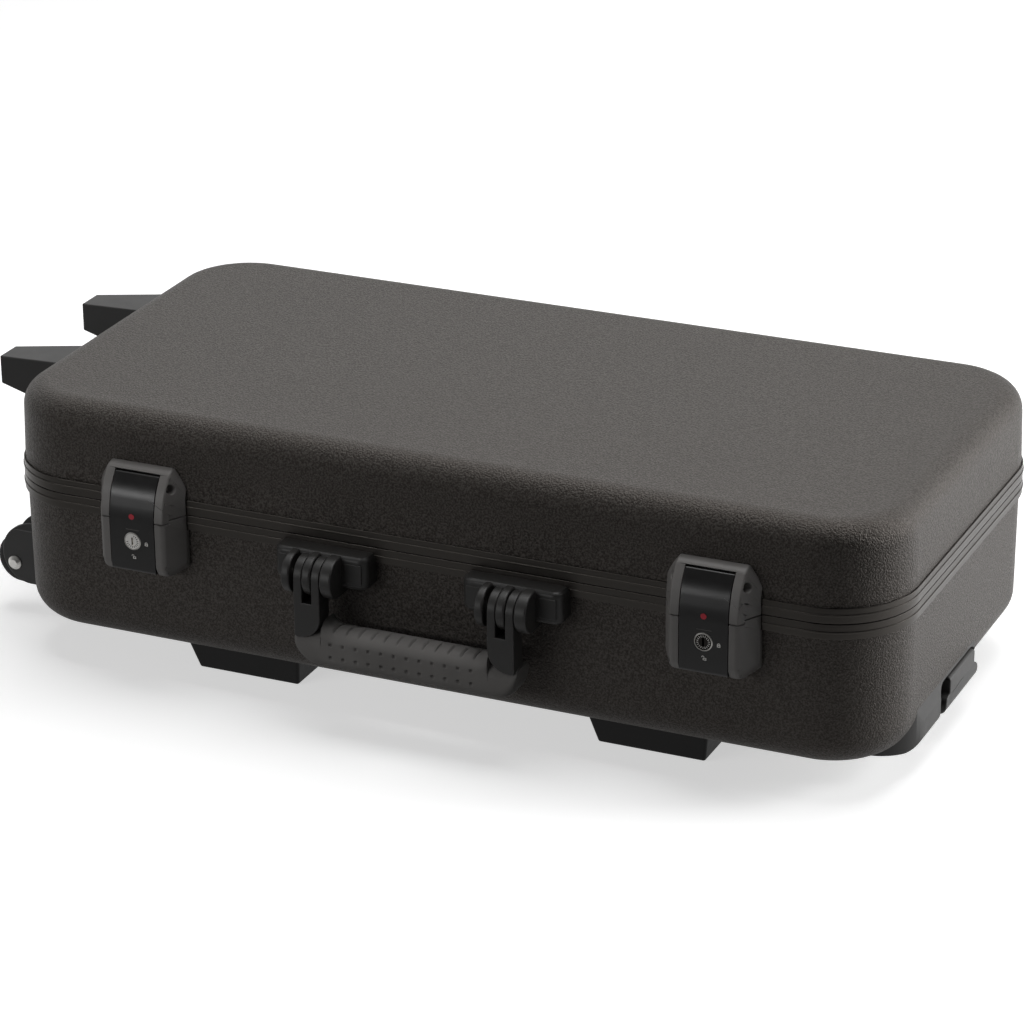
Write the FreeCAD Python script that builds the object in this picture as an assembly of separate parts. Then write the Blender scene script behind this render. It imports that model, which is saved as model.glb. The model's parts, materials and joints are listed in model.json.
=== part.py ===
import FreeCAD
import Part
import math
import os

V = FreeCAD.Vector

# A moulded trolley case: two shells with extruded rim valances, two drawbolt latches, a fold-down
# carry handle, a tow handle in the right end and two wheels with two stand feet on the left end.
# Everything is modelled about the middle of the rim, X along the case, the front towards -Y and the
# parting plane at Z 0. At export it moves so that the origin is under the middle of the whole object.

# Shells
case_length = 600.0
case_depth = 300.0
corner_radius = 52.0
lid_height = 61.0
base_height = 97.5
shell_wall = 4.0
lid_draft = 1.5
base_step = 1.0
base_draft = 1.0
top_edge_radius = 16.0
bottom_edge_radius = 20.0

# Rim valances
parting_gap = 0.5
valance_proud = 1.4
valance_band = 10.0
valance_web = 2.0
valance_lip = 1.5
valance_lip_height = 8.0
valance_rib_proud = 0.5
valance_rib_width = 1.4
valance_rib_height = 5.5

# Fits between pieces
lip_clearance = 0.4
running_fit = 0.05
slide_clearance = 0.3
swing_clearance = 0.5

# Linings
lining_wall = 8.0
lining_roof_clearance = 1.5

# Runner feet under the base
foot_from_end = 161.0
foot_height = 23.0
foot_width = 71.0
foot_length = 238.0
foot_side_draft = 4.5
foot_end_draft = 8.0
foot_wall = 4.0
foot_edge_radius = 2.0

# Latches
latch_from_end = 108.5
latch_proud = 18.0
latch_front_width = 43.6
latch_back_width = 60.0
latch_flank_share = 0.15
latch_shoulder_drop = 11.0
latch_heel_rise = 5.0
latch_top = 31.0
latch_drop = 40.0
latch_lean_height = 2.0
latch_lean_radius = 45.0
latch_brow_back = 3.5
latch_brow_height = 17.0
latch_brow_radius = 30.0
latch_crown_back = 12.0
latch_crown_height = 29.0
latch_crown_radius = 8.0
latch_bottom_radius = 10.0
latch_heel_radius = 5.0
latch_step = 2.0
latch_step_depth = 5.0
latch_back_plate = 1.5
hasp_width = 31.0
hasp_thickness = 4.5
hasp_drop = 37.0
hasp_top = 26.0
hasp_crest_radius = 1.5
hasp_tail = 3.2
hasp_tail_drop = 5.5
hasp_blend = 4.0
hasp_edge_radius = 0.8
hasp_pin_radius = 1.75
hasp_pin_back = 9.5
hasp_pin_height = 19.0
hasp_pin_hold = 3.5
hasp_pin_recess_radius = 3.0
lock_drop = 16.0
lock_plug_radius = 5.1
lock_bezel_wall = 0.8
lock_bezel_chamfer = 0.4
lock_face_proud = 0.4
lock_plug_sunk = 0.2
lock_cam_length = 9.5
lock_cam_width = 5.0
lock_cam_thickness = 2.0
key_slot_length = 5.2
key_slot_width = 1.3
key_slot_depth = 3.0
catch_width = 8.0
catch_height = 2.6
catch_lip = 2.0

# Carry handle
handle_x = 65.0
pivot_drop = 17.0
bracket_half_width = 34.0
bracket_proud = 14.0
bracket_top_drop = 3.6
bracket_height = 21.5
bracket_edge_radius = 5.0
bracket_under_radius = 2.5
bracket_backing = 3.1
lobe_radius = 13.0
lobe_cheek = 7.9
lobe_middle = 5.8
finger_width = 5.6
finger_radius = 12.0
handle_pin_radius = 2.5
handle_pin_recess = 1.5
cap_size = 14.0
cap_depth = 1.2
cap_sunk = 0.3
leg_thickness = 13.5
leg_edge_radius = 3.0
leg_toe_radius = 14.5
leg_heel_radius = 2.0
fork_depth = 21.0
grip_end = 1.0
grip_toe = 9.0
grip_height = 26.0
grip_thickness = 22.6
grip_drop = 58.0
grip_corner_radius = 15.0
grip_section_radius = 8.5
grip_lip_height = 6.0
grip_lip_run = 18.0
grip_lip_width = 2.0
grip_lip_radius = 1.5
grip_lip_blend = 12.0
grip_seat_drop = 3.0
grip_core_radius = 6.0

# Hinges
hinge_from_end = 115.0
hinge_width = 50.0
hinge_leaf_proud = 5.5
hinge_leaf_radius = 1.4
hinge_leaf_height = 30.0
hinge_knuckle_radius = 4.2
hinge_pin_radius = 1.75
hinge_middle = 17.4

# Wheels, in carriers on the left end
stand_reach = 45.0
wheel_y = 75.0
wheel_radius = 17.0
wheel_width = 14.0
wheel_edge_chamfer = 2.0
wheel_hub_radius = 11.5
wheel_boss_radius = 7.2
wheel_boss_height = 0.7
wheel_axle_height = 11.5
axle_radius = 3.0
axle_head_radius = 4.75
axle_head_height = 2.6
axle_head_rim = 0.8
axle_head_crown = 2.6
carrier_reach = 37.0
carrier_top = 39.5
carrier_bottom = -2.5
carrier_chamfer = 4.0
carrier_cheek = 5.0
carrier_wheel_gap = 3.0

# Stand feet on the lid's left end
stand_y = 54.0
stand_tip_width = 20.0
stand_tip_height = 19.0
stand_top = 49.0
stand_front_lean = 0.08
stand_back_lean = 0.45
stand_under_lean = 0.34

# Tow handle in the right end of the base
tow_y = -6.0
tow_front_reach = 99.0
tow_back_reach = 36.0
tow_depth = 38.5
tow_proud = 0.5
tow_top = 21.5
tow_bottom = -6.0
tow_end_radius = 30.0
tow_nose_radius = 12.0
tow_edge_radius = 8.0
tow_brow_radius = 4.0
tow_seam_radius = 2.0
tow_grip_gap = 9.0
tow_recess_depth = 30.0
tow_roof = 3.0
tow_roof_radius = 10.0
tow_tube_y = 15.5
tow_tube_height = 12.5
tow_tube_width = 16.0
tow_tube_depth = 12.0
tow_tube_wall = 1.2
tow_tube_radius = 2.4
tow_tail_room = 70.5
tow_tail_gap = 15.0
tow_grip_half = 31.0
tow_neck_wall = 0.5
tow_neck_radius = 2.5
tow_grip_depth = 19.0
tow_grip_bar = 13.0
tow_grip_proud = 0.5
tow_grip_radius = 5.0
tow_socket = 12.0
release_half = 15.0
release_height = 4.6
release_depth = 8.0
release_travel = 3.0
release_radius = 1.5
anchor_length = 20.0
anchor_side = 4.5
anchor_cap = 4.0

# The share of a half width that a full rounding takes, so that two of them never meet
full_round = 0.98

# Values that follow from the sizes above
half_length = case_length / 2
half_depth = case_depth / 2
half_gap = parting_gap / 2
valance_face = half_depth + valance_proud
floor_z = -base_height
foot_x = half_length - foot_from_end
ground_z = floor_z - foot_height
latch_x = half_length - latch_from_end
latch_face = -half_depth - latch_proud
hasp_pin_length = hasp_width + 2 * hasp_pin_hold
lock_bezel_radius = lock_plug_radius + lock_bezel_wall
pivot_y = -valance_face - bracket_backing - swing_clearance - finger_radius
pivot_z = -pivot_drop
hinge_x = half_length - hinge_from_end
hinge_y = valance_face + slide_clearance + hinge_knuckle_radius
hinge_half = hinge_width / 2
stand_x = -half_length - stand_reach
wheel_x = stand_x + wheel_radius
wheel_z = floor_z + wheel_axle_height
wheel_hub_width = wheel_width + 2 * wheel_boss_height
tow_face = half_length + tow_proud
tow_back = tow_face - tow_depth
tow_recess_back = tow_face - tow_recess_depth
tow_tube_z = floor_z + tow_tube_height
tow_tail = -half_length + tow_tail_room
tow_tube_edge = tow_tube_y + tow_tube_width / 2
tow_grip_neck = tow_tube_edge + tow_neck_wall
tow_recess_near = tow_grip_half + tow_grip_gap
tow_recess_far = tow_grip_half + swing_clearance
anchor_half_width = tow_tube_edge + anchor_side
anchor_top = tow_tube_z + tow_tube_depth / 2 + anchor_cap
lining_roof = anchor_top + lining_roof_clearance
far = case_length

AXES = {
    "x": (V(0, 1, 0), V(0, 0, 1), V(1, 0, 0)),
    "y": (V(1, 0, 0), V(0, 0, 1), V(0, 1, 0)),
    "z": (V(1, 0, 0), V(0, 1, 0), V(0, 0, 1)),
}


def box(x0, x1, y0, y1, z0, z1):
    return Part.makeBox(x1 - x0, y1 - y0, z1 - z0, V(x0, y0, z0))


def rod(axis, centre, radius, start, end):
    along = AXES[axis][2]
    return Part.makeCylinder(radius, end - start, centre + along * start, along)


def fused(shapes):
    return shapes[0].multiFuse(shapes[1:]).removeSplitter() if len(shapes) > 1 else shapes[0]


def rounded_wire(corners):
    """A closed wire through (point, radius) corners, with a tangent arc at each rounded one."""
    pieces = []
    for i, (point, radius) in enumerate(corners):
        if radius <= 0:
            pieces.append((point, point, None))
            continue
        before = (corners[i - 1][0] - point).normalize()
        after = (corners[(i + 1) % len(corners)][0] - point).normalize()
        half_angle = before.getAngle(after) / 2
        reach = radius / math.tan(half_angle)
        inward = (before + after).normalize()
        middle = point + inward * (radius / math.sin(half_angle) - radius)
        pieces.append((point + before * reach, point + after * reach, middle))
    edges = []
    for i, (start, end, middle) in enumerate(pieces):
        last_end = pieces[i - 1][1]
        if (start - last_end).Length > Part.Precision.confusion() * 10:
            edges.append(Part.LineSegment(last_end, start).toShape())
        if middle:
            edges.append(Part.Arc(start, middle, end).toShape())
    return Part.Wire(Part.__sortEdges__(edges))


def prism(axis, start, end, corners):
    """A solid between two planes across an axis; corners are (u, v) or (u, v, radius)."""
    u_dir, v_dir, along = AXES[axis]
    points = [(u_dir * c[0] + v_dir * c[1] + along * start, c[2] if len(c) > 2 else 0) for c in corners]
    return Part.Face(rounded_wire(points)).extrude(along * (end - start))


def turned(axis, centre, corners, degrees=360):
    """A turned solid about an axis; corners are (height, radius) or (height, radius, rounding)."""
    u_dir, _, along = AXES[axis]
    points = [(centre + along * c[0] + u_dir * c[1], c[2] if len(c) > 2 else 0) for c in corners]
    return Part.Face(rounded_wire(points)).revolve(centre, along, degrees)


def mirrored_corners(corners):
    """Corners on the +u side, followed by their mirror images, in order round the outline."""
    return corners + [(-c[0],) + tuple(c[1:]) for c in reversed(corners)]


def rim_wire(inset, z):
    x = half_length - inset
    y = half_depth - inset
    ring = ((x, -y), (x, y), (-x, y), (-x, -y))
    return rounded_wire([(V(a, b, z), corner_radius - inset) for a, b in ring])


def slab(inset, z0, z1):
    return Part.Face(rim_wire(inset, z0)).extrude(V(0, 0, z1 - z0))


def band(outer_inset, inner_inset, z0, z1):
    return slab(outer_inset, z0, z1).cut(slab(inner_inset, z0, z1))


def tapered(inset0, z0, inset1, z1, edge_radius):
    """A block with the rim's outline that tapers from z0 to z1 and has its z1 edges rounded."""
    x = half_length - corner_radius
    y = half_depth - corner_radius
    crosswise = mirrored_corners([(half_depth - inset0, z0), (half_depth - inset1, z1, edge_radius)])
    lengthwise = mirrored_corners([(half_length - inset0, z0), (half_length - inset1, z1, edge_radius)])
    pieces = [prism("x", -x, x, crosswise), prism("y", -y, y, lengthwise)]
    corner = [(z0, 0), (z0, corner_radius - inset0), (z1, corner_radius - inset1, edge_radius), (z1, 0)]
    for quarter, place in enumerate((V(x, y, 0), V(-x, y, 0), V(-x, -y, 0), V(x, -y, 0))):
        piece = turned("z", V(0, 0, 0), corner, 90)
        piece.rotate(V(0, 0, 0), V(0, 0, 1), quarter * 90)
        piece.translate(place)
        pieces.append(piece)
    return fused(pieces)


def wedge(first, second):
    """A solid with flat faces between two rings of four points each."""
    rings = [first, second]
    for i in range(4):
        j = (i + 1) % 4
        rings.append([first[i], first[j], second[j], second[i]])
    faces = [Part.Face(Part.makePolygon(ring + ring[:1])) for ring in rings]
    return Part.makeSolid(Part.makeShell(faces))


def runner_block(x, inset, bottom):
    """A runner's drafted block from a height up to the base, inset all round."""
    def flanks(middle, half, draft):
        low = half + draft * (bottom - ground_z) / foot_height - inset
        high = half + draft - inset
        lower = ((middle - low, bottom), (middle + low, bottom))
        return lower + ((middle + high, floor_z), (middle - high, floor_z))

    across = prism("y", -foot_length, foot_length, flanks(x, foot_width / 2, foot_side_draft))
    along = prism("x", x - foot_width, x + foot_width, flanks(0, foot_length / 2, foot_end_draft))
    return across.common(along).Solids[0]


# Shells
def shell_blocks():
    lid_outer = tapered(0, 0, lid_draft, lid_height, top_edge_radius)
    lid_inner = tapered(shell_wall, 0, lid_draft + shell_wall, lid_height - shell_wall,
                        top_edge_radius - shell_wall)
    base_outer = tapered(base_step, 0, base_step + base_draft, floor_z, bottom_edge_radius)
    base_inner = tapered(base_step + shell_wall, 0, base_step + base_draft + shell_wall,
                         floor_z + shell_wall, bottom_edge_radius - shell_wall)
    return lid_outer, lid_inner, base_outer, base_inner


lid_outer, lid_inner, base_outer, base_inner = shell_blocks()
lid_space = lid_outer.fuse(slab(-valance_proud, half_gap, valance_band))
base_space = base_outer.fuse(slab(-valance_proud, -valance_band, -half_gap))


def lid_shell():
    return lid_outer.cut(lid_inner).cut(slab(-valance_proud, 0, half_gap + valance_web))


def base_shell():
    shell = base_outer.cut(base_inner).cut(slab(-valance_proud, -half_gap - valance_web, 0))
    hole = tow_block()
    hole.translate(V(0, tow_y, 0))
    return shell.cut(hole).removeSplitter()


def runner_foot(x):
    """A drafted foot, hollow on the side that lies against the base."""
    block = runner_block(x, 0, ground_z)
    free_edges = [e for e in block.Edges if e.BoundBox.ZMin < floor_z - foot_height / 2]
    block = block.makeFillet(foot_edge_radius, free_edges)
    return block.cut(runner_block(x, foot_wall, ground_z + foot_wall))


def valance(step, up):
    """A rim extrusion: a ribbed outer leg, a web across the shell's edge and a lip inside it."""
    inner_face = step + shell_wall + lip_clearance
    flat_face = valance_rib_proud - valance_proud
    outer_leg = band(flat_face, step, half_gap, valance_band)
    web = band(flat_face, inner_face + valance_lip, half_gap, half_gap + valance_web)
    lip = band(inner_face, inner_face + valance_lip, half_gap, valance_lip_height)
    rib_z = valance_rib_height - valance_rib_width / 2
    rib = band(-valance_proud, step, rib_z, rib_z + valance_rib_width)
    rim = fused([outer_leg, web, lip, rib])
    return rim if up else rim.mirror(V(0, 0, 0), V(0, 0, 1))


def lid_lining():
    outside = tapered(shell_wall + lip_clearance, 0, lid_draft + shell_wall + lip_clearance,
                      lid_height - shell_wall - lip_clearance, top_edge_radius - shell_wall)
    inset = shell_wall + lining_wall
    inside = tapered(inset, 0, lid_draft + inset, lid_height - inset, top_edge_radius - shell_wall)
    return outside.cut(inside).cut(slab(0, 0, valance_lip_height + lip_clearance))


def base_lining():
    """A tray whose floor stands on a foot ring, clear of the tow handle's tubes under it."""
    inset = base_step + shell_wall + lip_clearance
    corner = bottom_edge_radius - shell_wall
    outside = tapered(inset, 0, inset + base_draft, floor_z + shell_wall + lip_clearance, corner)
    inset = base_step + shell_wall + lining_wall
    inside = tapered(inset, 0, inset + base_draft, lining_roof + lining_wall, corner)
    tray = outside.cut(inside).cut(slab(0, -valance_lip_height - lip_clearance, 0))
    tray = tray.cut(slab(inset + corner, floor_z, lining_roof))
    near = tow_y - tow_front_reach - slide_clearance
    back = tow_y + tow_back_reach + slide_clearance
    return tray.cut(box(tow_back - slide_clearance, far, near, back,
                        floor_z, floor_z + tow_top + slide_clearance))


# Latches, modelled about x 0 and moved to their places
pin_at = V(0, latch_face + hasp_pin_back, hasp_pin_height)
lock_at = V(0, latch_face, -lock_drop)
hasp_half = hasp_width / 2
slot_half = hasp_half + slide_clearance


def latch_outline(x, share, drop, rise, radius):
    """The latch's side outline at an x, with a share of its depth, a lower top and a higher bottom."""
    deep = -half_depth + base_step + base_draft + shell_wall
    bottom = rise - latch_drop
    corners = [
        (0, bottom, radius),
        (0, latch_lean_height - drop, latch_lean_radius),
        (latch_brow_back, latch_brow_height - drop, latch_brow_radius),
        (latch_crown_back, latch_crown_height - drop, latch_crown_radius),
    ]
    front = [(V(x, -half_depth - (latch_proud - back) * share, z), r) for back, z, r in corners]
    return rounded_wire([(V(x, deep, bottom), 0)] + front + [(V(x, deep, latch_top - drop), 0)])


def latch_block():
    """A middle with the curved front and two flanks that fall back from it to the case."""
    half = latch_front_width / 2
    face = Part.Face(latch_outline(-half, 1, 0, 0, latch_bottom_radius))
    middle = face.extrude(V(latch_front_width, 0, 0))
    flanks = []
    for side in (-1, 1):
        inner = latch_outline(side * half, 1, 0, 0, latch_bottom_radius)
        outer = latch_outline(side * latch_back_width / 2, latch_flank_share, latch_shoulder_drop,
                              latch_heel_rise, latch_heel_radius)
        flanks.append(Part.makeLoft([inner, outer], True, True))
    return fused([middle] + flanks)


def latch_half(upper):
    """The part of the latch housing on one side of the stepped seam."""
    sign = 1 if upper else -1
    seam = [
        (-far, sign * half_gap - latch_step),
        (latch_face + latch_step_depth, sign * half_gap - latch_step),
        (latch_face + latch_step_depth, sign * half_gap),
        (far, sign * half_gap),
        (far, sign * far),
        (-far, sign * far),
    ]
    return latch_block().common(prism("x", -latch_back_width, latch_back_width, seam))


def latch_frame():
    swing = math.hypot(hasp_tail, hasp_top - hasp_pin_height) + swing_clearance
    frame = latch_half(True).cut(lid_space)
    brow = hasp_top + swing_clearance
    frame = frame.cut(box(-slot_half, slot_half, -far, pin_at.y + hasp_tail, -far, brow))
    frame = frame.cut(box(-slot_half, slot_half, -far, pin_at.y + swing, -far, hasp_pin_height))
    frame = frame.cut(rod("x", pin_at, swing, -slot_half, slot_half))
    frame = frame.cut(rod("x", pin_at, hasp_pin_radius + running_fit, -far, far))
    for side in (-1, 1):
        start, end = sorted((side * (hasp_pin_length / 2 + slide_clearance), side * far))
        frame = frame.cut(rod("x", pin_at, hasp_pin_recess_radius, start, end))
    return frame


def keeper():
    plate_face = -valance_face - latch_back_plate
    body = latch_half(False).cut(base_space)
    body = body.cut(box(-slot_half, slot_half, -far, plate_face, -far, far))
    body = body.cut(box(-slot_half, slot_half, -far, far, -far, latch_bottom_radius / 2 - latch_drop))
    x0 = lock_plug_radius + swing_clearance
    x1 = x0 + catch_width
    lip_face = latch_face + hasp_thickness + swing_clearance
    under = -lock_drop + lock_cam_width / 2 + slide_clearance
    arm = box(x0, x1, lip_face, plate_face, under, under + catch_height)
    lip = box(x0, x1, lip_face, lip_face + catch_lip, under - lock_cam_width, under)
    return fused([body, arm, lip])


def hasp():
    inner = latch_face + hasp_thickness
    tail = pin_at.y + hasp_tail
    lean = (latch_crown_back - latch_brow_back) / (latch_crown_height - latch_brow_height)
    crest = latch_face + latch_brow_back + (hasp_top - latch_brow_height) * lean
    side = [
        (latch_face, -hasp_drop, hasp_thickness / 2),
        (latch_face, latch_lean_height, latch_lean_radius),
        (latch_face + latch_brow_back, latch_brow_height, latch_brow_radius),
        (crest, hasp_top, hasp_crest_radius),
        (tail, hasp_top, hasp_edge_radius),
        (tail, hasp_pin_height - hasp_tail_drop, hasp_edge_radius),
        (inner, hasp_pin_height - hasp_tail_drop - hasp_blend, hasp_blend / 2),
        (inner, -hasp_drop, hasp_edge_radius),
    ]
    cover = prism("x", -hasp_half, hasp_half, side)
    cover = cover.cut(rod("x", pin_at, hasp_pin_radius + running_fit, -far, far))
    return cover.cut(rod("y", lock_at, lock_bezel_radius, -hasp_thickness, 2 * hasp_thickness))


def hasp_pin():
    return rod("x", pin_at, hasp_pin_radius, -hasp_pin_length / 2, hasp_pin_length / 2)


def lock_bezel():
    bore = lock_plug_radius + running_fit
    return turned("y", lock_at, [
        (-lock_face_proud, bore),
        (-lock_face_proud, lock_bezel_radius - lock_bezel_chamfer),
        (lock_bezel_chamfer - lock_face_proud, lock_bezel_radius),
        (hasp_thickness, lock_bezel_radius),
        (hasp_thickness, bore),
    ])


def lock_plug():
    back = hasp_thickness + swing_clearance + catch_lip + slide_clearance
    plug = rod("y", lock_at, lock_plug_radius, lock_plug_sunk - lock_face_proud, back)
    cam_half = lock_cam_width / 2
    cam_round = cam_half * full_round
    cam_start = latch_face + back
    cam = prism("y", cam_start, cam_start + lock_cam_thickness, [
        (-cam_half, -lock_drop + cam_half, cam_round),
        (cam_half, -lock_drop + cam_half, cam_round),
        (cam_half, -lock_drop - lock_cam_length, cam_round),
        (-cam_half, -lock_drop - lock_cam_length, cam_round),
    ])
    slot = box(-key_slot_width / 2, key_slot_width / 2, latch_face - far, latch_face + key_slot_depth,
               -lock_drop - key_slot_length / 2, -lock_drop + key_slot_length / 2)
    return fused([plug, cam]).cut(slot)


# Carry handle, its brackets modelled about x 0
pivot = V(0, pivot_y, pivot_z)
leg_half = lobe_middle / 2 + slide_clearance + finger_width
lobe_inner = leg_half + slide_clearance
lobe_outer = lobe_inner + lobe_cheek
cap_x = (lobe_outer + bracket_half_width) / 2
bracket_face = -half_depth - bracket_proud
bracket_mid_z = -bracket_top_drop - bracket_height / 2


def handle_bracket():
    deep = -half_depth + base_step + base_draft + shell_wall
    bottom = -bracket_top_drop - bracket_height
    plan = mirrored_corners([
        (bracket_half_width, deep),
        (bracket_half_width, bracket_face, bracket_edge_radius),
    ])
    side = [
        (deep, bottom),
        (bracket_face, bottom, bracket_under_radius),
        (bracket_face, -bracket_top_drop, bracket_edge_radius),
        (deep, -bracket_top_drop),
    ]
    body = prism("z", bottom, -bracket_top_drop, plan)
    body = body.common(prism("x", -bracket_half_width, bracket_half_width, side))
    lobe_face = pivot_y - lobe_radius
    lobe_round = lobe_radius * full_round
    lobe_side = [
        (deep, pivot_z - lobe_radius),
        (lobe_face, pivot_z - lobe_radius, lobe_round),
        (lobe_face, pivot_z + lobe_radius, lobe_round),
        (deep, pivot_z + lobe_radius),
    ]
    body = body.fuse(prism("x", -lobe_outer, lobe_outer, lobe_side))
    body = body.cut(base_space)
    slot_back = pivot_y + finger_radius + swing_clearance
    for side_sign in (-1, 1):
        low, high = sorted((side_sign * lobe_middle / 2, side_sign * lobe_inner))
        body = body.cut(box(low, high, -far, slot_back, -far, far))
        x = side_sign * cap_x
        body = body.cut(box(x - cap_size / 2, x + cap_size / 2, -far, bracket_face + cap_depth,
                            bracket_mid_z - cap_size / 2, bracket_mid_z + cap_size / 2))
    return body.cut(rod("x", pivot, handle_pin_radius + running_fit, -far, far))


def bracket_caps():
    half = cap_size / 2
    caps = []
    for centre in (-handle_x, handle_x):
        for side in (-1, 1):
            x = centre + side * cap_x
            caps.append(box(x - half, x + half, bracket_face + cap_sunk, bracket_face + cap_depth,
                            bracket_mid_z - half, bracket_mid_z + half))
    return Part.makeCompound(caps)


def handle_pins():
    half = lobe_outer - handle_pin_recess
    return Part.makeCompound([rod("x", V(x, pivot_y, pivot_z), handle_pin_radius, -half, half)
                              for x in (-handle_x, handle_x)])


grip_z = pivot_z - grip_drop + grip_height / 2
leg_end = pivot_z - grip_drop + grip_toe
leg_front = pivot_y - finger_radius


def handle_leg(side):
    """A forked leg at x 0, whose toe is a quarter round on the inner side of the handle."""
    back = leg_front + leg_thickness
    section = [
        (leg_front, pivot_z),
        (leg_front, leg_end, leg_edge_radius),
        (back, leg_end, leg_edge_radius),
        (back, pivot_z),
    ]
    face = [
        (-side * leg_half, pivot_z),
        (-side * leg_half, leg_end, leg_toe_radius),
        (side * leg_half, leg_end, leg_heel_radius),
        (side * leg_half, pivot_z),
    ]
    leg = prism("x", -leg_half, leg_half, section).common(prism("y", -far, 0, face))
    leg = leg.fuse(rod("x", pivot, finger_radius, -leg_half, leg_half))
    fork_half = lobe_middle / 2 + slide_clearance
    leg = leg.cut(box(-fork_half, fork_half, -far, far, pivot_z - fork_depth, far))
    return leg.cut(rod("x", pivot, handle_pin_radius + running_fit, -far, far))


def handle_frame():
    core = rod("x", V(0, leg_front + leg_thickness / 2, grip_z), grip_core_radius, -handle_x, handle_x)
    legs = []
    for side in (-1, 1):
        leg = handle_leg(side)
        leg.translate(V(side * handle_x, 0, 0))
        legs.append(leg)
    return fused(legs + [core])


def grip_cover():
    """The soft cover round the core and the legs' toes, with a raised lip along each leg's inner side."""
    top = grip_z + grip_height / 2
    bottom = grip_z - grip_height / 2
    front = leg_front + slide_clearance
    back = front + grip_thickness
    leg_side = handle_x - leg_half
    end = handle_x + leg_half + grip_end
    face = mirrored_corners([
        (leg_side - grip_lip_run, top, grip_lip_blend),
        (leg_side - grip_lip_width, top + grip_lip_height, grip_lip_radius),
        (leg_side, top - grip_seat_drop, grip_seat_drop),
        (end, top - grip_seat_drop, grip_seat_drop),
        (end, bottom, grip_corner_radius),
    ])
    section = [
        (front, bottom, grip_section_radius),
        (back, bottom, grip_section_radius),
        (back, top + grip_lip_height, grip_section_radius),
        (front, top + grip_lip_height, grip_section_radius),
    ]
    cover = prism("y", front, back, face).common(prism("x", -end, end, section))
    return cover.cut(handle_frame())


# Hinges, modelled about x 0
hinge_axis = V(0, hinge_y, 0)


def hinge_leaf(upper):
    sign = 1 if upper else -1
    deep = half_depth - base_step - base_draft - shell_wall
    face = half_depth + hinge_leaf_proud
    low, high = sorted((sign * half_gap, sign * hinge_leaf_height))
    plan = mirrored_corners([(hinge_half, deep), (hinge_half, face, hinge_leaf_radius)])
    leaf = prism("z", low, high, plan).cut(lid_space if upper else base_space)
    middle = hinge_middle / 2
    gap = middle + slide_clearance
    own = [(-middle, middle)] if upper else [(-hinge_half, -gap), (gap, hinge_half)]
    other = [(-hinge_half, -middle), (middle, hinge_half)] if upper else [(-gap, gap)]
    for x0, x1 in other:
        leaf = leaf.cut(rod("x", hinge_axis, hinge_knuckle_radius + slide_clearance, x0, x1))
    leaf = leaf.multiFuse([rod("x", hinge_axis, hinge_knuckle_radius, x0, x1) for x0, x1 in own])
    return leaf.cut(rod("x", hinge_axis, hinge_pin_radius + running_fit, -far, far)).removeSplitter()


def hinge_pins():
    return Part.makeCompound([rod("x", V(x, hinge_y, 0), hinge_pin_radius, -hinge_half, hinge_half)
                              for x in (-hinge_x, hinge_x)])


# Wheels and their carriers, at y 0 until they are moved
cheek_inner = wheel_hub_width / 2 + slide_clearance
cheek_outer = cheek_inner + carrier_cheek
axle_at = V(wheel_x, 0, wheel_z)


def wheel_carrier():
    deep = -half_length + bottom_edge_radius
    reach = -half_length - carrier_reach
    top = floor_z + carrier_top
    bottom = floor_z + carrier_bottom
    lobe = (top - bottom) / 2 * full_round
    outline = [(deep, top), (reach, top, lobe), (reach, bottom, lobe), (deep, bottom)]
    block = prism("y", -cheek_outer, cheek_outer, outline)
    block = block.common(prism("x", reach, deep, mirrored_corners([
        (cheek_outer, bottom),
        (cheek_outer, top - carrier_chamfer),
        (cheek_outer - carrier_chamfer, top),
    ])))
    web_face = wheel_x + wheel_radius + carrier_wheel_gap
    block = block.cut(box(-far, web_face, -cheek_inner, cheek_inner, -far, far))
    block = block.cut(rod("y", axle_at, axle_radius + running_fit, -far, far))
    return block.cut(base_space)


def mirrored_turn(corners):
    """Corners (height, radius) for the near half of a turned piece, followed by the far half's."""
    return [(-h, r) for h, r in corners] + [(h, r) for h, r in reversed(corners)]


def axle():
    head = cheek_outer + axle_head_height
    return turned("y", axle_at, mirrored_turn([
        (head, 0),
        (head, axle_head_crown),
        (cheek_outer + axle_head_rim, axle_head_radius),
        (cheek_outer, axle_head_radius),
        (cheek_outer, axle_radius),
    ]))


def wheel_tyre():
    half = wheel_width / 2
    return turned("y", axle_at, mirrored_turn([
        (half, wheel_hub_radius),
        (half, wheel_radius - wheel_edge_chamfer),
        (half - wheel_edge_chamfer, wheel_radius),
    ]))


def wheel_hub():
    half = wheel_width / 2
    boss = half + wheel_boss_height
    return turned("y", axle_at, mirrored_turn([
        (boss, axle_radius + running_fit),
        (boss, wheel_boss_radius),
        (half, wheel_boss_radius),
        (half, wheel_hub_radius),
    ]))


def stand_foot(y):
    """A wedge whose flat top runs level, whose underside and back side widen towards the lid."""
    root_x = -half_length + top_edge_radius / 2
    run = root_x - stand_x
    rings = []
    for x, way in ((stand_x, 0), (root_x, run)):
        y0 = y - stand_tip_width / 2 + stand_front_lean * way
        y1 = y + stand_tip_width / 2 + stand_back_lean * way
        z0 = stand_top - stand_tip_height - stand_under_lean * way
        rings.append([V(x, y0, z0), V(x, y1, z0), V(x, y1, stand_top), V(x, y0, stand_top)])
    return wedge(*rings).cut(lid_space)


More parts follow.
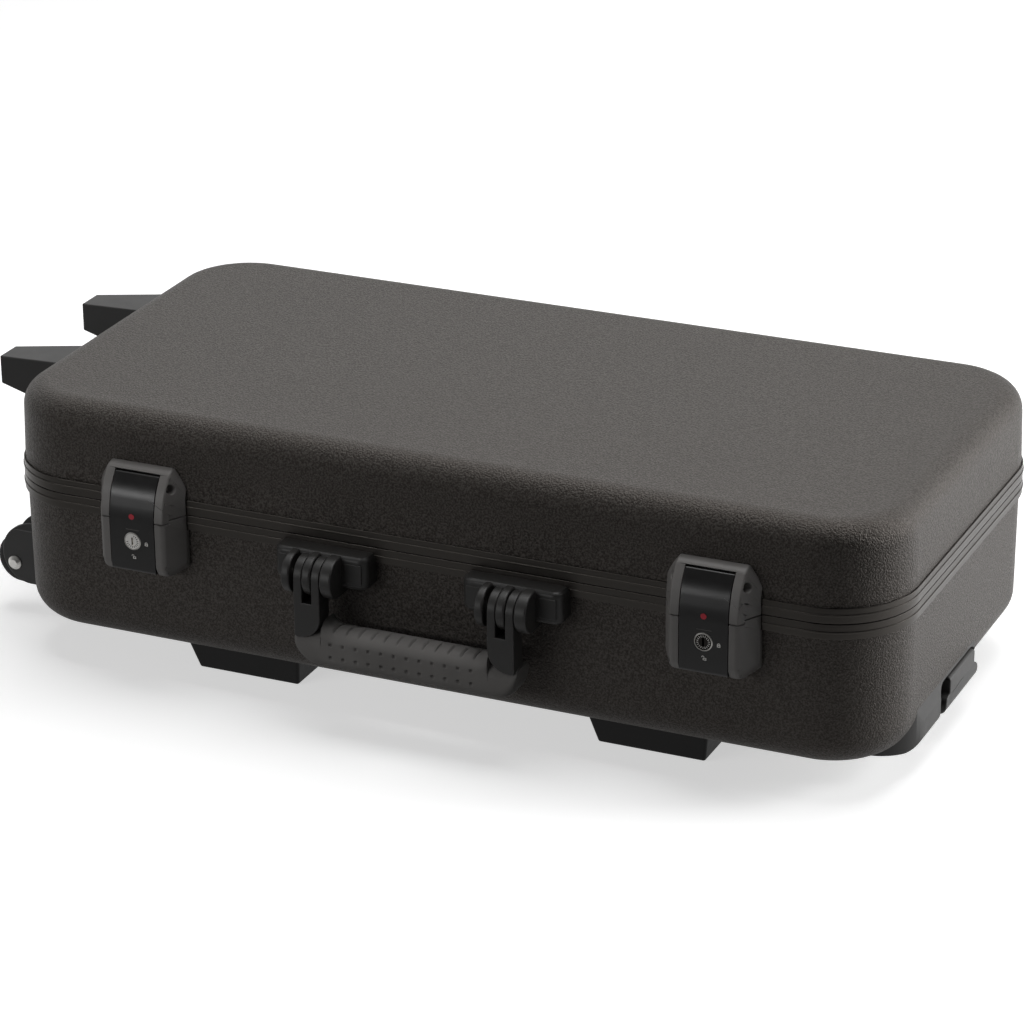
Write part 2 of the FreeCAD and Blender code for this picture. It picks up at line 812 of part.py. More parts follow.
# Tow handle, modelled about y 0 and moved to its place
def tow_block():
    top = floor_z + tow_top
    bottom = floor_z + tow_bottom
    lean = tow_proud + base_step + base_draft
    profile = [
        (tow_back, top),
        (tow_face - lean, top, tow_seam_radius),
        (tow_face, top - tow_top / 2, tow_brow_radius),
        (tow_face, bottom, tow_edge_radius),
        (tow_back, bottom, tow_brow_radius),
    ]
    plan = [
        (tow_back, -tow_front_reach),
        (tow_face, -tow_front_reach, tow_end_radius),
        (tow_face, tow_back_reach, tow_nose_radius),
        (tow_back, tow_back_reach),
    ]
    block = prism("y", -tow_front_reach, tow_back_reach, profile)
    return block.common(prism("z", bottom, top, plan))


def tube_bar(y, x0, x1, shrink):
    half_width = tow_tube_width / 2 - shrink
    half_height = tow_tube_depth / 2 - shrink
    radius = tow_tube_radius - shrink if shrink < tow_tube_radius else 0
    ring = ((-1, -1), (1, -1), (1, 1), (-1, 1))
    return prism("x", x0, x1, [(y + a * half_width, tow_tube_z + b * half_height, radius) for a, b in ring])


def tow_housing():
    recess = [
        (-tow_recess_near, -far), (tow_recess_far, -far),
        (tow_recess_far, floor_z + tow_top - tow_roof, tow_roof_radius),
        (-tow_recess_near, floor_z + tow_top - tow_roof, tow_roof_radius),
    ]
    housing = tow_block().cut(prism("x", tow_recess_back, far, recess))
    for side in (-1, 1):
        housing = housing.cut(tube_bar(side * tow_tube_y, -far, far, 0))
    return housing


def outer_tube(side):
    y = side * tow_tube_y
    return tube_bar(y, tow_tail, tow_recess_back, 0).cut(tube_bar(y, -far, far, tow_tube_wall))


inner_shrink = tow_tube_wall + slide_clearance
grip_front = tow_face + tow_grip_proud
grip_back = grip_front - tow_grip_depth


def inner_tube(side):
    y = side * tow_tube_y
    tube = tube_bar(y, tow_tail + tow_tail_gap, grip_back + tow_socket, inner_shrink)
    return tube.cut(tube_bar(y, -far, far, inner_shrink + tow_tube_wall))


def tow_grip():
    top = floor_z + tow_top - tow_roof - slide_clearance
    bottom = floor_z + tow_bottom
    bar_top = bottom + tow_grip_bar
    face = mirrored_corners([
        (tow_grip_half, bottom, tow_grip_radius),
        (tow_grip_half, bar_top, tow_grip_radius),
        (tow_grip_neck, bar_top, tow_neck_radius),
        (tow_grip_neck, top, tow_neck_radius),
    ])
    section = [
        (grip_back, top),
        (grip_front, top, tow_neck_radius),
        (grip_front, bottom, tow_edge_radius),
        (grip_back, bottom, tow_grip_radius),
    ]
    grip = prism("x", grip_back, grip_front, face)
    grip = grip.common(prism("y", -tow_grip_half, tow_grip_half, section))
    for side in (-1, 1):
        grip = grip.cut(tube_bar(side * tow_tube_y, -far, grip_back + tow_socket, inner_shrink))
    slot_height = release_height / 2 + slide_clearance
    slot_width = release_half + slide_clearance
    return grip.cut(box(-far, grip_back + release_depth + slide_clearance, -slot_width, slot_width,
                        release_z - slot_height, release_z + slot_height))


release_z = floor_z + tow_bottom + tow_grip_bar / 2


def tow_release():
    half = release_height / 2
    x0 = grip_back - release_travel
    return prism("z", release_z - half, release_z + half, [
        (x0, -release_half, release_radius),
        (x0, release_half, release_radius),
        (x0 + release_depth, release_half),
        (x0 + release_depth, -release_half),
    ])


def tube_anchor():
    block = box(tow_tail - anchor_length / 2, tow_tail + anchor_length / 2,
                -anchor_half_width, anchor_half_width, floor_z + shell_wall, anchor_top)
    for side in (-1, 1):
        block = block.cut(tube_bar(side * tow_tube_y, tow_tail, far, 0))
    return block


# Export
reach_right = max(half_length + valance_proud, grip_front)
reach_front = -pivot_y + lobe_radius
reach_back = hinge_y + hinge_knuckle_radius
to_origin = V((-stand_x - reach_right) / 2, (reach_front - reach_back) / 2, -ground_z)


def export(name, shape, x=0.0, y=0.0):
    piece = shape.copy()
    piece.translate(to_origin + V(x, y, 0))
    piece.exportStep("parts/" + name + ".step")


os.makedirs("parts", exist_ok=True)

export("base_shell", base_shell())
export("base_valance", valance(base_step, False))
export("base_lining", base_lining())
export("lid_shell", lid_shell())
export("lid_valance", valance(0, True))
export("lid_lining", lid_lining())

for side_name, sign in (("left", -1), ("right", 1)):
    export("runner_foot_" + side_name, runner_foot(sign * foot_x))
    export("latch_frame_" + side_name, latch_frame(), x=sign * latch_x)
    export("latch_keeper_" + side_name, keeper(), x=sign * latch_x)
    export("hasp_" + side_name, hasp(), x=sign * latch_x)
    export("hasp_pin_" + side_name, hasp_pin(), x=sign * latch_x)
    export("lock_bezel_" + side_name, lock_bezel(), x=sign * latch_x)
    export("lock_plug_" + side_name, lock_plug(), x=sign * latch_x)
    export("handle_bracket_" + side_name, handle_bracket(), x=sign * handle_x)
    export("hinge_leaf_base_" + side_name, hinge_leaf(False), x=sign * hinge_x)
    export("hinge_leaf_lid_" + side_name, hinge_leaf(True), x=sign * hinge_x)

export("bracket_caps", bracket_caps())
export("handle_pins", handle_pins())
export("handle_frame", handle_frame())
export("grip_cover", grip_cover())
export("hinge_pins", hinge_pins())

for side_name, sign in (("front", -1), ("back", 1)):
    export("wheel_carrier_" + side_name, wheel_carrier(), y=sign * wheel_y)
    export("wheel_axle_" + side_name, axle(), y=sign * wheel_y)
    export("wheel_tyre_" + side_name, wheel_tyre(), y=sign * wheel_y)
    export("wheel_hub_" + side_name, wheel_hub(), y=sign * wheel_y)
    export("stand_foot_" + side_name, stand_foot(sign * stand_y))
    export("tow_outer_tube_" + side_name, outer_tube(sign), y=tow_y)
    export("tow_inner_tube_" + side_name, inner_tube(sign), y=tow_y)

export("tow_housing", tow_housing(), y=tow_y)
export("tow_grip", tow_grip(), y=tow_y)
export("tow_release", tow_release(), y=tow_y)
export("tow_tube_anchor", tube_anchor(), y=tow_y)
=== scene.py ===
import json
import math

import bmesh
import bpy
from mathutils import Matrix, Vector


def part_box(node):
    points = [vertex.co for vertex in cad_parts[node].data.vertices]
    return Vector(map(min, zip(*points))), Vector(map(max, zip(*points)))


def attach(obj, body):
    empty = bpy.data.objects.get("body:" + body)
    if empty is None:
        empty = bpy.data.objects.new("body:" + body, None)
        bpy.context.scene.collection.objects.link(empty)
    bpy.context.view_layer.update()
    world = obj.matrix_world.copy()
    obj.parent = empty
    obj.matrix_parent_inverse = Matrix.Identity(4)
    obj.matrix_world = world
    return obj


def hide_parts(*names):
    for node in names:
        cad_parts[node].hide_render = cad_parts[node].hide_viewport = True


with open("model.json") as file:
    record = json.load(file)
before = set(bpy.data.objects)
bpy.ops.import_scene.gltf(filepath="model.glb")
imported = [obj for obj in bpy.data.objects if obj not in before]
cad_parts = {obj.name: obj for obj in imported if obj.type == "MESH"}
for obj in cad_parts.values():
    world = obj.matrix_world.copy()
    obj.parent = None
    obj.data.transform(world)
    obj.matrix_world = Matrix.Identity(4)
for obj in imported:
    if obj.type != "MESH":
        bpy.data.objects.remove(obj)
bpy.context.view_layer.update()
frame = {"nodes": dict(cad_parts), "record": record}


# Lid and base shells: two deep trays, each vacuum-formed from one sheet of black ABS. The sheet gets
# its pebble grain from a roller before it is formed, so the grain runs over every face and corner.
MM = 0.001
nodes = frame["nodes"]


def hex_linear(code):
    """An sRGB hex colour as linear red, green, blue and a full alpha."""
    channels = [int(code[i:i + 2], 16) / 255 for i in (1, 3, 5)]
    linear = [c / 12.92 if c <= 0.04045 else ((c + 0.055) / 1.055) ** 2.4 for c in channels]
    return (*linear, 1.0)


def add_node(tree, kind, inputs, **settings):
    """One node with its settings; an input is a value, or the output that feeds it."""
    made = tree.nodes.new(kind)
    for name, value in settings.items():
        setattr(made, name, value)
    for socket, value in inputs.items():
        if isinstance(value, bpy.types.NodeSocket):
            tree.links.new(value, made.inputs[socket])
        else:
            made.inputs[socket].default_value = value
    return made


def start_material(name, shader_values):
    """A material with its shader's constants set, and the place on the piece that its patterns start from."""
    material = bpy.data.materials.new(name)
    material.use_nodes = True
    tree = material.node_tree
    shader = tree.nodes["Principled BSDF"]
    for socket, value in shader_values.items():
        shader.inputs[socket].default_value = value
    place = add_node(tree, "ShaderNodeTexCoord", {}).outputs["Object"]
    return material, tree, shader, place


# Pebbled ABS: rounded pebbles about 1.2 mm across with a finer skin on them, all a warm black. The pale
# pebble tops over dark hollows are painted glints and painted shade, and light from behind the case turns the
# top and the end grey.
pebbled_abs, tree, shader, place = start_material("pebbled_abs_formed", {
    "Roughness": 0.5, "IOR": 1.5, "Specular IOR Level": 0.42, "Specular Tint": hex_linear("#ffefe2")})
pebbles = add_node(tree, "ShaderNodeTexNoise", {"Vector": place, "Scale": 1 / (1.2 * MM), "Detail": 2.0})
skin = add_node(tree, "ShaderNodeTexNoise", {"Vector": place, "Scale": 1 / (0.7 * MM), "Detail": 2.0})
grain = add_node(tree, "ShaderNodeMath", {0: skin.outputs["Fac"], 1: 0.35, 2: pebbles.outputs["Fac"]},
                 operation="MULTIPLY_ADD")
bump = add_node(tree, "ShaderNodeBump", {"Height": grain.outputs[0], "Strength": 1.0, "Distance": 0.8 * MM})
# Painted glint and shade: the base colour runs from near black in the grain's hollows to a pale grey on its
# high tops.
painted_glint_and_rub_tone = add_node(tree, "ShaderNodeMapRange", {"Value": grain.outputs[0], "From Min": 0.56, "From Max": 0.82})
tint = add_node(tree, "ShaderNodeMix", {
    0: painted_glint_and_rub_tone.outputs[0], 6: hex_linear("#080808"), 7: hex_linear("#454341")}, data_type="RGBA")
tree.links.new(tint.outputs[2], shader.inputs["Base Color"])
tree.links.new(bump.outputs[0], shader.inputs["Normal"])


def dress(node_name, material):
    """A CAD piece whose shape is right keeps it and gets its finish here."""
    data = nodes[node_name].data
    data.materials.clear()
    data.materials.append(material)


for name in ("lid_shell", "base_shell"):
    dress(name, pebbled_abs)


# Rim valances: two aluminium extrusions, dyed black, bent round the rims and pressed on to the shells.
# Each has one rib along its middle, and the extrusion die leaves fine lines along its run.
bodies = frame["record"]["behaviour"]["bodies"]
body_of_node = {name: body for body, names in bodies.items() for name in names}


def softened(node_name, radius, material, slot, segments=2, broad=None, broad_radius=0.0):
    """Stands for a CAD piece with its sharp edges broken by a small rounding, as its tool leaves them.
    Edges whose ends broad picks out, by their place in mm, are rounded before that by broad_radius."""
    weld, flat, fold, sharp = 0.002 * MM, math.radians(0.6), 0.2, math.radians(35.0)
    mesh = bmesh.new()
    mesh.from_mesh(nodes[node_name].data)
    bmesh.ops.remove_doubles(mesh, verts=mesh.verts, dist=weld)
    bmesh.ops.dissolve_limit(mesh, angle_limit=flat, verts=mesh.verts, edges=mesh.edges)
    if broad:
        wide = [e for e in mesh.edges
                if all(broad(v.co / MM) for v in e.verts) and e.calc_face_angle(0) > fold]
        bmesh.ops.bevel(mesh, geom=wide, offset=broad_radius, segments=5, profile=0.5, affect="EDGES",
                        clamp_overlap=False)
    corners = [e for e in mesh.edges if e.is_convex and e.calc_face_angle(0) > sharp]
    bmesh.ops.bevel(mesh, geom=corners, offset=radius, segments=segments, profile=0.5, affect="EDGES",
                    clamp_overlap=False)
    finished(node_name + "_formed", mesh, material, slot, node_name)


def finished(name, mesh, material, slot, *stands_for, body=None, smooth=30.0):
    """Turns a bmesh into a piece that rides on its body and stands for the CAD pieces it is named for."""
    data = bpy.data.meshes.new(name)
    mesh.to_mesh(data)
    mesh.free()
    data.shade_smooth()
    data.set_sharp_from_angle(angle=math.radians(smooth))
    data.materials.append(material)
    piece = bpy.data.objects.new(name, data)
    bpy.context.scene.collection.objects.link(piece)
    even = piece.modifiers.new("even_flats", "WEIGHTED_NORMAL")
    even.keep_sharp = True
    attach(piece, body or body_of_node[stands_for[0]])
    if stands_for:
        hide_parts(*stands_for)
    return piece


# Dyed anodised aluminium, extruded: a dark satin with lines about 0.8 mm apart along its run.
dyed_anodised, tree, shader, place = start_material("black_anodised_aluminium_extruded", {
    "Base Color": hex_linear("#474441"), "Metallic": 1.0})
apart = add_node(tree, "ShaderNodeSeparateXYZ", {"Vector": place})
die_lines = add_node(tree, "ShaderNodeTexNoise", {
    "W": apart.outputs["Z"], "Scale": 1 / (0.8 * MM), "Detail": 2.0}, noise_dimensions="1D")
bump = add_node(tree, "ShaderNodeBump", {
    "Height": die_lines.outputs["Fac"], "Strength": 0.25, "Distance": 0.1 * MM})
dull = add_node(tree, "ShaderNodeMapRange", {
    "Value": die_lines.outputs["Fac"], "To Min": 0.3, "To Max": 0.44})
tree.links.new(dull.outputs[0], shader.inputs["Roughness"])
tree.links.new(bump.outputs[0], shader.inputs["Normal"])
for name in ("lid_valance", "base_valance"):
    softened(name, 0.35 * MM, dyed_anodised, "valance")


# Runner feet: two smooth polypropylene mouldings with drawn-in sides, fixed flat under the base.
# The case lies on them. The plastic is a deep black with little shine, dulled in patches by scuffs.
slick_polypropylene, tree, shader, place = start_material("black_polypropylene_moulded", {
    "Base Color": hex_linear("#100f0f"), "IOR": 1.49, "Specular IOR Level": 0.2})
sink = add_node(tree, "ShaderNodeTexNoise", {"Vector": place, "Scale": 1 / (18 * MM), "Detail": 2.0})
bump = add_node(tree, "ShaderNodeBump", {
    "Height": sink.outputs["Fac"], "Strength": 0.15, "Distance": 0.5 * MM})
scuffs = add_node(tree, "ShaderNodeTexNoise", {"Vector": place, "Scale": 1 / (3 * MM), "Detail": 4.0})
dull = add_node(tree, "ShaderNodeMapRange", {"Value": scuffs.outputs["Fac"], "To Min": 0.34, "To Max": 0.52})
tree.links.new(dull.outputs[0], shader.inputs["Roughness"])
tree.links.new(bump.outputs[0], shader.inputs["Normal"])
for name in ("runner_foot_left", "runner_foot_right"):
    dress(name, slick_polypropylene)


# Linings: a pressed foam tray in each shell, covered with short-pile cloth and bound along its edge.
# The base's tray stands on a skirt over the tow handle's tubes, and the lid's lies against its roof.
def box_mm(node_name):
    """The low and the high corner of a CAD piece's box, in mm."""
    return tuple(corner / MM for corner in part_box(node_name))


rim_low, rim_high = box_mm("lid_valance")
rim_middle = ((rim_low + rim_high) / 2).xy
rim_half = Vector((300, 150))
rim_corner = 52.0
rim_half_gap = 0.25
rim_height = rim_low.z - rim_half_gap
corner_steps = 12
side_parts = 16


def rim_ring(inset, height):
    """Points round the case at an inset from its rim and a height over it, which may depend on the place."""
    radius = max(rim_corner - inset, 4.0)
    across = rim_half - Vector((inset + radius, inset + radius))
    points = []
    for corner, (sx, sy) in enumerate(((1, 1), (-1, 1), (-1, -1), (1, -1))):
        for step in range(corner_steps + 1):
            angle = math.radians(90 * corner + 90 * step / corner_steps)
            points.append(rim_middle + Vector((sx * across.x + radius * math.cos(angle),
                                               sy * across.y + radius * math.sin(angle))))
        ahead = ((-1, 1), (-1, -1), (1, -1), (1, 1))[corner]
        turn = math.radians(90 * corner + 90)
        start = points[-1]
        end = rim_middle + Vector((ahead[0] * across.x + radius * math.cos(turn),
                                   ahead[1] * across.y + radius * math.sin(turn)))
        points += [start.lerp(end, part / side_parts) for part in range(1, side_parts)]
    return [Vector((p.x, p.y, rim_height + (height(p) if callable(height) else height))) * MM for p in points]


def lofted(rings, looped=False):
    """A skin over rings of points, each with as many; its ends are closed, or joined where it is looped."""
    mesh = bmesh.new()
    rows = [[mesh.verts.new(p) for p in ring] for ring in rings]
    for low, high in zip(rows, rows[1:] + rows[:1] if looped else rows[1:]):
        for i in range(len(low)):
            j = (i + 1) % len(low)
            mesh.faces.new((low[i], low[j], high[j], high[i]))
    if not looped:
        mesh.faces.new(rows[0][::-1])
        mesh.faces.new(rows[-1])
    bmesh.ops.recalc_face_normals(mesh, faces=mesh.faces)
    return mesh


# Short-pile polyester cloth, knitted and brushed: a charcoal nap with a soft bloom at its edges.
brushed_cloth, tree, shader, place = start_material("polyester_pile_brushed", {
    "Roughness": 0.95, "Specular IOR Level": 0.1,
    "Sheen Weight": 0.35, "Sheen Roughness": 0.5, "Sheen Tint": hex_linear("#8c8a88")})
pile = add_node(tree, "ShaderNodeTexNoise", {"Vector": place, "Scale": 1 / (0.8 * MM), "Detail": 4.0})
strokes = add_node(tree, "ShaderNodeTexNoise", {
    "Vector": place, "Scale": 1 / (25 * MM), "Detail": 3.0, "Distortion": 0.8})
nap = add_node(tree, "ShaderNodeMath", {0: strokes.outputs["Fac"], 1: 0.6, 2: pile.outputs["Fac"]},
               operation="MULTIPLY_ADD")
lay = add_node(tree, "ShaderNodeMapRange", {"Value": nap.outputs[0], "From Min": 0.5, "From Max": 1.1})
tint = add_node(tree, "ShaderNodeMix", {
    0: lay.outputs[0], 6: hex_linear("#1f1f21"), 7: hex_linear("#39383a")}, data_type="RGBA")
bump = add_node(tree, "ShaderNodeBump", {
    "Height": pile.outputs["Fac"], "Strength": 0.7, "Distance": 0.5 * MM})
tree.links.new(tint.outputs[2], shader.inputs["Base Color"])
tree.links.new(bump.outputs[0], shader.inputs["Normal"])

housing_low, housing_high = box_mm("tow_housing")
housing_room = 8.0
skirt_on_floor = -92.5
skirt_on_housing = -75.0


def skirt_foot(point):
    """How far the base tray's skirt reaches down from the rim: it stops short over the tow housing."""
    beside = housing_low.y - housing_room < point.y < housing_high.y + housing_room
    return skirt_on_housing if point.x > housing_low.x - 1 and beside else skirt_on_floor


# Each tray's section, from under its floor up the outside, over the edge and down to the floor again.
base_tray = lofted([
    rim_ring(140, -72.5), rim_ring(33, -73), rim_ring(31, skirt_foot), rim_ring(24, skirt_foot),
    rim_ring(14, lambda p: max(skirt_foot(p), -87)), rim_ring(9, lambda p: max(skirt_foot(p), -78)),
    rim_ring(7.4, -68), rim_ring(6.0, -12), rim_ring(6.6, -9.6), rim_ring(8.6, -8.5), rim_ring(11, -8.5),
    rim_ring(13, -9.4), rim_ring(13.8, -11.5), rim_ring(14.6, -46), rim_ring(15.4, -55),
    rim_ring(18, -60.5), rim_ring(22.5, -64.2), rim_ring(27.5, -65.8), rim_ring(30, -65.4),
    rim_ring(40, -64.4), rim_ring(70, -63.6), rim_ring(140, -63.4)])
lid_tray = lofted([
    rim_ring(140, 56.2), rim_ring(22, 56.2), rim_ring(12, 54.6), rim_ring(7.6, 50), rim_ring(5.8, 43),
    rim_ring(4.8, 12), rim_ring(5.4, 9.6), rim_ring(7.4, 8.5), rim_ring(9.6, 8.5), rim_ring(11.6, 9.4),
    rim_ring(12.3, 11.5), rim_ring(13.2, 37), rim_ring(14.4, 42), rim_ring(17, 46.2), rim_ring(21, 48.6),
    rim_ring(25, 49.2), rim_ring(28, 48.8), rim_ring(38, 47.8), rim_ring(70, 47), rim_ring(140, 46.8)])
for mesh, name in ((base_tray, "base_lining"), (lid_tray, "lid_lining")):
    tray = finished(name + "_tray", mesh, brushed_cloth, "lining", name, smooth=60.0)

# Polyester binding tape, woven: dark and matt, with a weave of 1.2 mm cells.
woven_tape, tree, shader, place = start_material("polyester_tape_woven", {
    "Base Color": hex_linear("#171718"), "Roughness": 0.8, "Specular IOR Level": 0.2})
weave = add_node(tree, "ShaderNodeTexVoronoi", {"Vector": place, "Scale": 1 / (1.2 * MM)})
bump = add_node(tree, "ShaderNodeBump", {
    "Height": weave.outputs["Distance"], "Strength": 0.6, "Distance": 0.3 * MM})
tree.links.new(bump.outputs[0], shader.inputs["Normal"])
tape_radius = 1.6
tape_sides = 10
for body, inset, height in (("base", 27.5, -65.4), ("lid", 25, 48.8)):
    rings = []
    for step in range(tape_sides):
        angle = 2 * math.pi * step / tape_sides
        rings.append(rim_ring(inset + tape_radius * math.cos(angle), height + tape_radius * math.sin(angle)))
    finished(f"{body}_lining_binding", lofted(rings, looped=True), woven_tape, "lining", body=body,
             smooth=60.0)


# Hinges: two pairs of steel leaves at the back, pressed round a pin and black coated, each riveted
# through its shell with three domed heads. The coating has a slight orange peel and a soft shine.
coated_steel, tree, shader, place = start_material("black_coated_steel_pressed", {
    "Base Color": hex_linear("#232221"), "Roughness": 0.4, "IOR": 1.5, "Specular IOR Level": 0.5})
orange_peel = add_node(tree, "ShaderNodeTexNoise", {"Vector": place, "Scale": 1 / (1.1 * MM), "Detail": 1.0})
bump = add_node(tree, "ShaderNodeBump", {
    "Height": orange_peel.outputs["Fac"], "Strength": 0.25, "Distance": 0.12 * MM})
tree.links.new(bump.outputs[0], shader.inputs["Normal"])


def turned_mesh(mesh, centre, axis, profile, steps=32):
    """Adds a turned solid to a mesh; the profile is (distance along the axis, radius) in mm."""
    along = Vector(axis).normalized()
    side = along.orthogonal().normalized()
    other = along.cross(side)
    rows = []
    for height, radius in profile:
        row = []
        for step in range(steps):
            angle = 2 * math.pi * step / steps
            out = side * math.cos(angle) + other * math.sin(angle)
            row.append(mesh.verts.new((Vector(centre) + along * height + out * radius) * MM))
        rows.append(row)
    for low, high in zip(rows, rows[1:]):
        for i in range(steps):
            j = (i + 1) % steps
            mesh.faces.new((low[i], low[j], high[j], high[i]))
    mesh.faces.new(rows[0][::-1])
    mesh.faces.new(rows[-1])


rivet_dome = [(-1.0, 3.2), (0.0, 3.2), (0.5, 3.0), (1.0, 2.4), (1.35, 1.5), (1.5, 0.5)]
rivet_places = ((-16, 18), (0, 23), (16, 18))
leaf_face = rim_middle.y + 155.5
for side in ("left", "right"):
    for half, up in (("lid", 1), ("base", -1)):
        name = f"hinge_leaf_{half}_{side}"
        low, high = box_mm(name)
        softened(name, 0.35 * MM, coated_steel, "hinge")
        heads = bmesh.new()
        for across, height in rivet_places:
            at = ((low.x + high.x) / 2 + across, leaf_face, rim_height + up * height)
            turned_mesh(heads, at, (0, 1, 0), rivet_dome, 24)
        bmesh.ops.recalc_face_normals(heads, faces=heads.faces)
        finished(f"hinge_rivets_{half}_{side}", heads, coated_steel, "hinge", body=half)


# Pins: the hinge, hasp and handle pins are cut from bright drawn steel rod and pressed in. Drawing
# leaves lines about 0.5 mm apart along the rod, so it shines unevenly round its girth.
drawn_steel, tree, shader, place = start_material("bright_steel_drawn", {
    "Base Color": hex_linear("#b9b7b3"), "Metallic": 1.0})
apart = add_node(tree, "ShaderNodeSeparateXYZ", {"Vector": place})
across = add_node(tree, "ShaderNodeCombineXYZ", {"Y": apart.outputs["Y"], "Z": apart.outputs["Z"]})
draw_lines = add_node(tree, "ShaderNodeTexNoise", {
    "Vector": across.outputs[0], "Scale": 1 / (0.5 * MM), "Detail": 3.0})
dull = add_node(tree, "ShaderNodeMapRange", {
    "Value": draw_lines.outputs["Fac"], "To Min": 0.2, "To Max": 0.4})
tree.links.new(dull.outputs[0], shader.inputs["Roughness"])
for name in ("hinge_pins", "hasp_pin_left", "hasp_pin_right", "handle_pins"):
    dress(name, drawn_steel)


# Latch housings: glass-filled nylon mouldings in two halves, the frame on the lid and the keeper on the
# base, riveted from inside. Their tools are spark-eroded, which leaves an even matt skin.
filled_nylon, tree, shader, place = start_material("glass_filled_nylon_moulded", {
    "IOR": 1.53, "Specular IOR Level": 0.5})
spark = add_node(tree, "ShaderNodeTexNoise", {"Vector": place, "Scale": 1 / (0.35 * MM), "Detail": 2.0})
bump = add_node(tree, "ShaderNodeBump", {
    "Height": spark.outputs["Fac"], "Strength": 0.22, "Distance": 0.1 * MM})
flow = add_node(tree, "ShaderNodeTexNoise", {
    "Vector": place, "Scale": 1 / (14 * MM), "Detail": 3.0, "Distortion": 1.0})
dull = add_node(tree, "ShaderNodeMapRange", {"Value": flow.outputs["Fac"], "To Min": 0.44, "To Max": 0.58})
tint = add_node(tree, "ShaderNodeMix", {
    0: flow.outputs["Fac"], 6: hex_linear("#666462"), 7: hex_linear("#726f6d")}, data_type="RGBA")
tree.links.new(tint.outputs[2], shader.inputs["Base Color"])
tree.links.new(dull.outputs[0], shader.inputs["Roughness"])
tree.links.new(bump.outputs[0], shader.inputs["Normal"])
latch_front_half = 21.8
for side in ("left", "right"):
    low, high = box_mm(f"latch_frame_{side}")
    middle = (low.x + high.x) / 2
    for half, rounding in (("frame", 0.9), ("keeper", 2.4)):
        softened(f"latch_{half}_{side}", 0.5 * MM, filled_nylon, "latch", broad_radius=rounding * MM,
                 broad=lambda p: abs(abs(p.x - middle) - latch_front_half) < 0.06)


# Hasps: ABS covers, moulded with a satin shine, that hinge on a pin in the frame and close over the
# keeper. A thin line, a coloured dot and two padlock signs are pad-printed on each, round its lock.
satin_abs, tree, shader, place = start_material("black_abs_moulded_satin", {
    "Base Color": hex_linear("#161515"), "IOR": 1.5, "Specular IOR Level": 0.5})
flow = add_node(tree, "ShaderNodeTexNoise", {"Vector": place, "Scale": 1 / (9 * MM), "Detail": 2.0})
bump = add_node(tree, "ShaderNodeBump", {
    "Height": flow.outputs["Fac"], "Strength": 0.08, "Distance": 0.3 * MM})
handled = add_node(tree, "ShaderNodeTexNoise", {"Vector": place, "Scale": 1 / (5 * MM), "Detail": 4.0})
dull = add_node(tree, "ShaderNodeMapRange", {"Value": handled.outputs["Fac"], "To Min": 0.26, "To Max": 0.38})
tree.links.new(dull.outputs[0], shader.inputs["Roughness"])
tree.links.new(bump.outputs[0], shader.inputs["Normal"])


def ink(name, code):
    """Pad-printing ink: a thin matt film, slightly uneven where it lies thin."""
    material, tree, shader, place = start_material(name, {"Roughness": 0.6, "Specular IOR Level": 0.3})
    film = add_node(tree, "ShaderNodeTexNoise", {"Vector": place, "Scale": 1 / (0.6 * MM), "Detail": 2.0})
    thin = [channel * 0.8 for channel in hex_linear(code)[:3]] + [1.0]
    tint = add_node(tree, "ShaderNodeMix", {0: film.outputs["Fac"], 6: hex_linear(code), 7: thin},
                    data_type="RGBA")
    tree.links.new(tint.outputs[2], shader.inputs["Base Color"])
    return material


white_ink = ink("white_ink_printed", "#e8e6e2")
red_ink = ink("red_ink_printed", "#c9404c")
grey_ink = ink("grey_ink_printed", "#5c5a58")
hasp_face = box_mm("hasp_left")[0].y
film_thickness = 0.06


def printed(mesh, outline, inside=None):
    """A film on the hasp's face from (x, z) points; a closed inner outline makes it a ring."""
    front = hasp_face - film_thickness
    outer = [mesh.verts.new(Vector((x, front, z)) * MM) for x, z in outline]
    skirt = [mesh.verts.new(Vector((x, hasp_face + film_thickness, z)) * MM) for x, z in outline]
    count = len(outer)
    if inside is None:
        mesh.faces.new(outer)
    else:
        inner = [mesh.verts.new(Vector((x, front, z)) * MM) for x, z in inside]
        for i in range(count):
            mesh.faces.new((outer[i], outer[(i + 1) % count], inner[(i + 1) % count], inner[i]))
    for i in range(count):
        mesh.faces.new((outer[i], outer[(i + 1) % count], skirt[(i + 1) % count], skirt[i]))


def round_outline(x, z, radius, start=0, end=360, steps=24):
    """Points round a circle, or along an arc of it from one angle to another."""
    turns = [math.radians(start + (end - start) * i / steps) for i in range(steps + (end - start < 360))]
    return [(x + radius * math.cos(a), z + radius * math.sin(a)) for a in turns]


def square_outline(x0, x1, z0, z1):
    return [(x0, z0), (x1, z0), (x1, z1), (x0, z1)]


def padlock_sign(mesh, x, z, lifted):
    """A small padlock: a square body with a hole and a bow over it, swung aside where it is open."""
    body = square_outline(x - 1.1, x + 1.1, z - 1.2, z + 0.5)
    hole = square_outline(x - 0.45, x + 0.45, z - 0.65, z - 0.05)
    printed(mesh, body, hole)
    bow_x, bow_z = (x - 1.1, z + 0.75) if lifted else (x, z + 0.5)
    outer = round_outline(bow_x, bow_z, 0.95, 0, 180, 12)
    inner = round_outline(bow_x, bow_z, 0.5, 180, 0, 12)
    printed(mesh, outer + inner)


def lock_middle(side):
    """The x and z of a lock's middle on its hasp."""
    low, high = box_mm(f"lock_bezel_{side}")
    return (low.x + high.x) / 2, (low.z + high.z) / 2


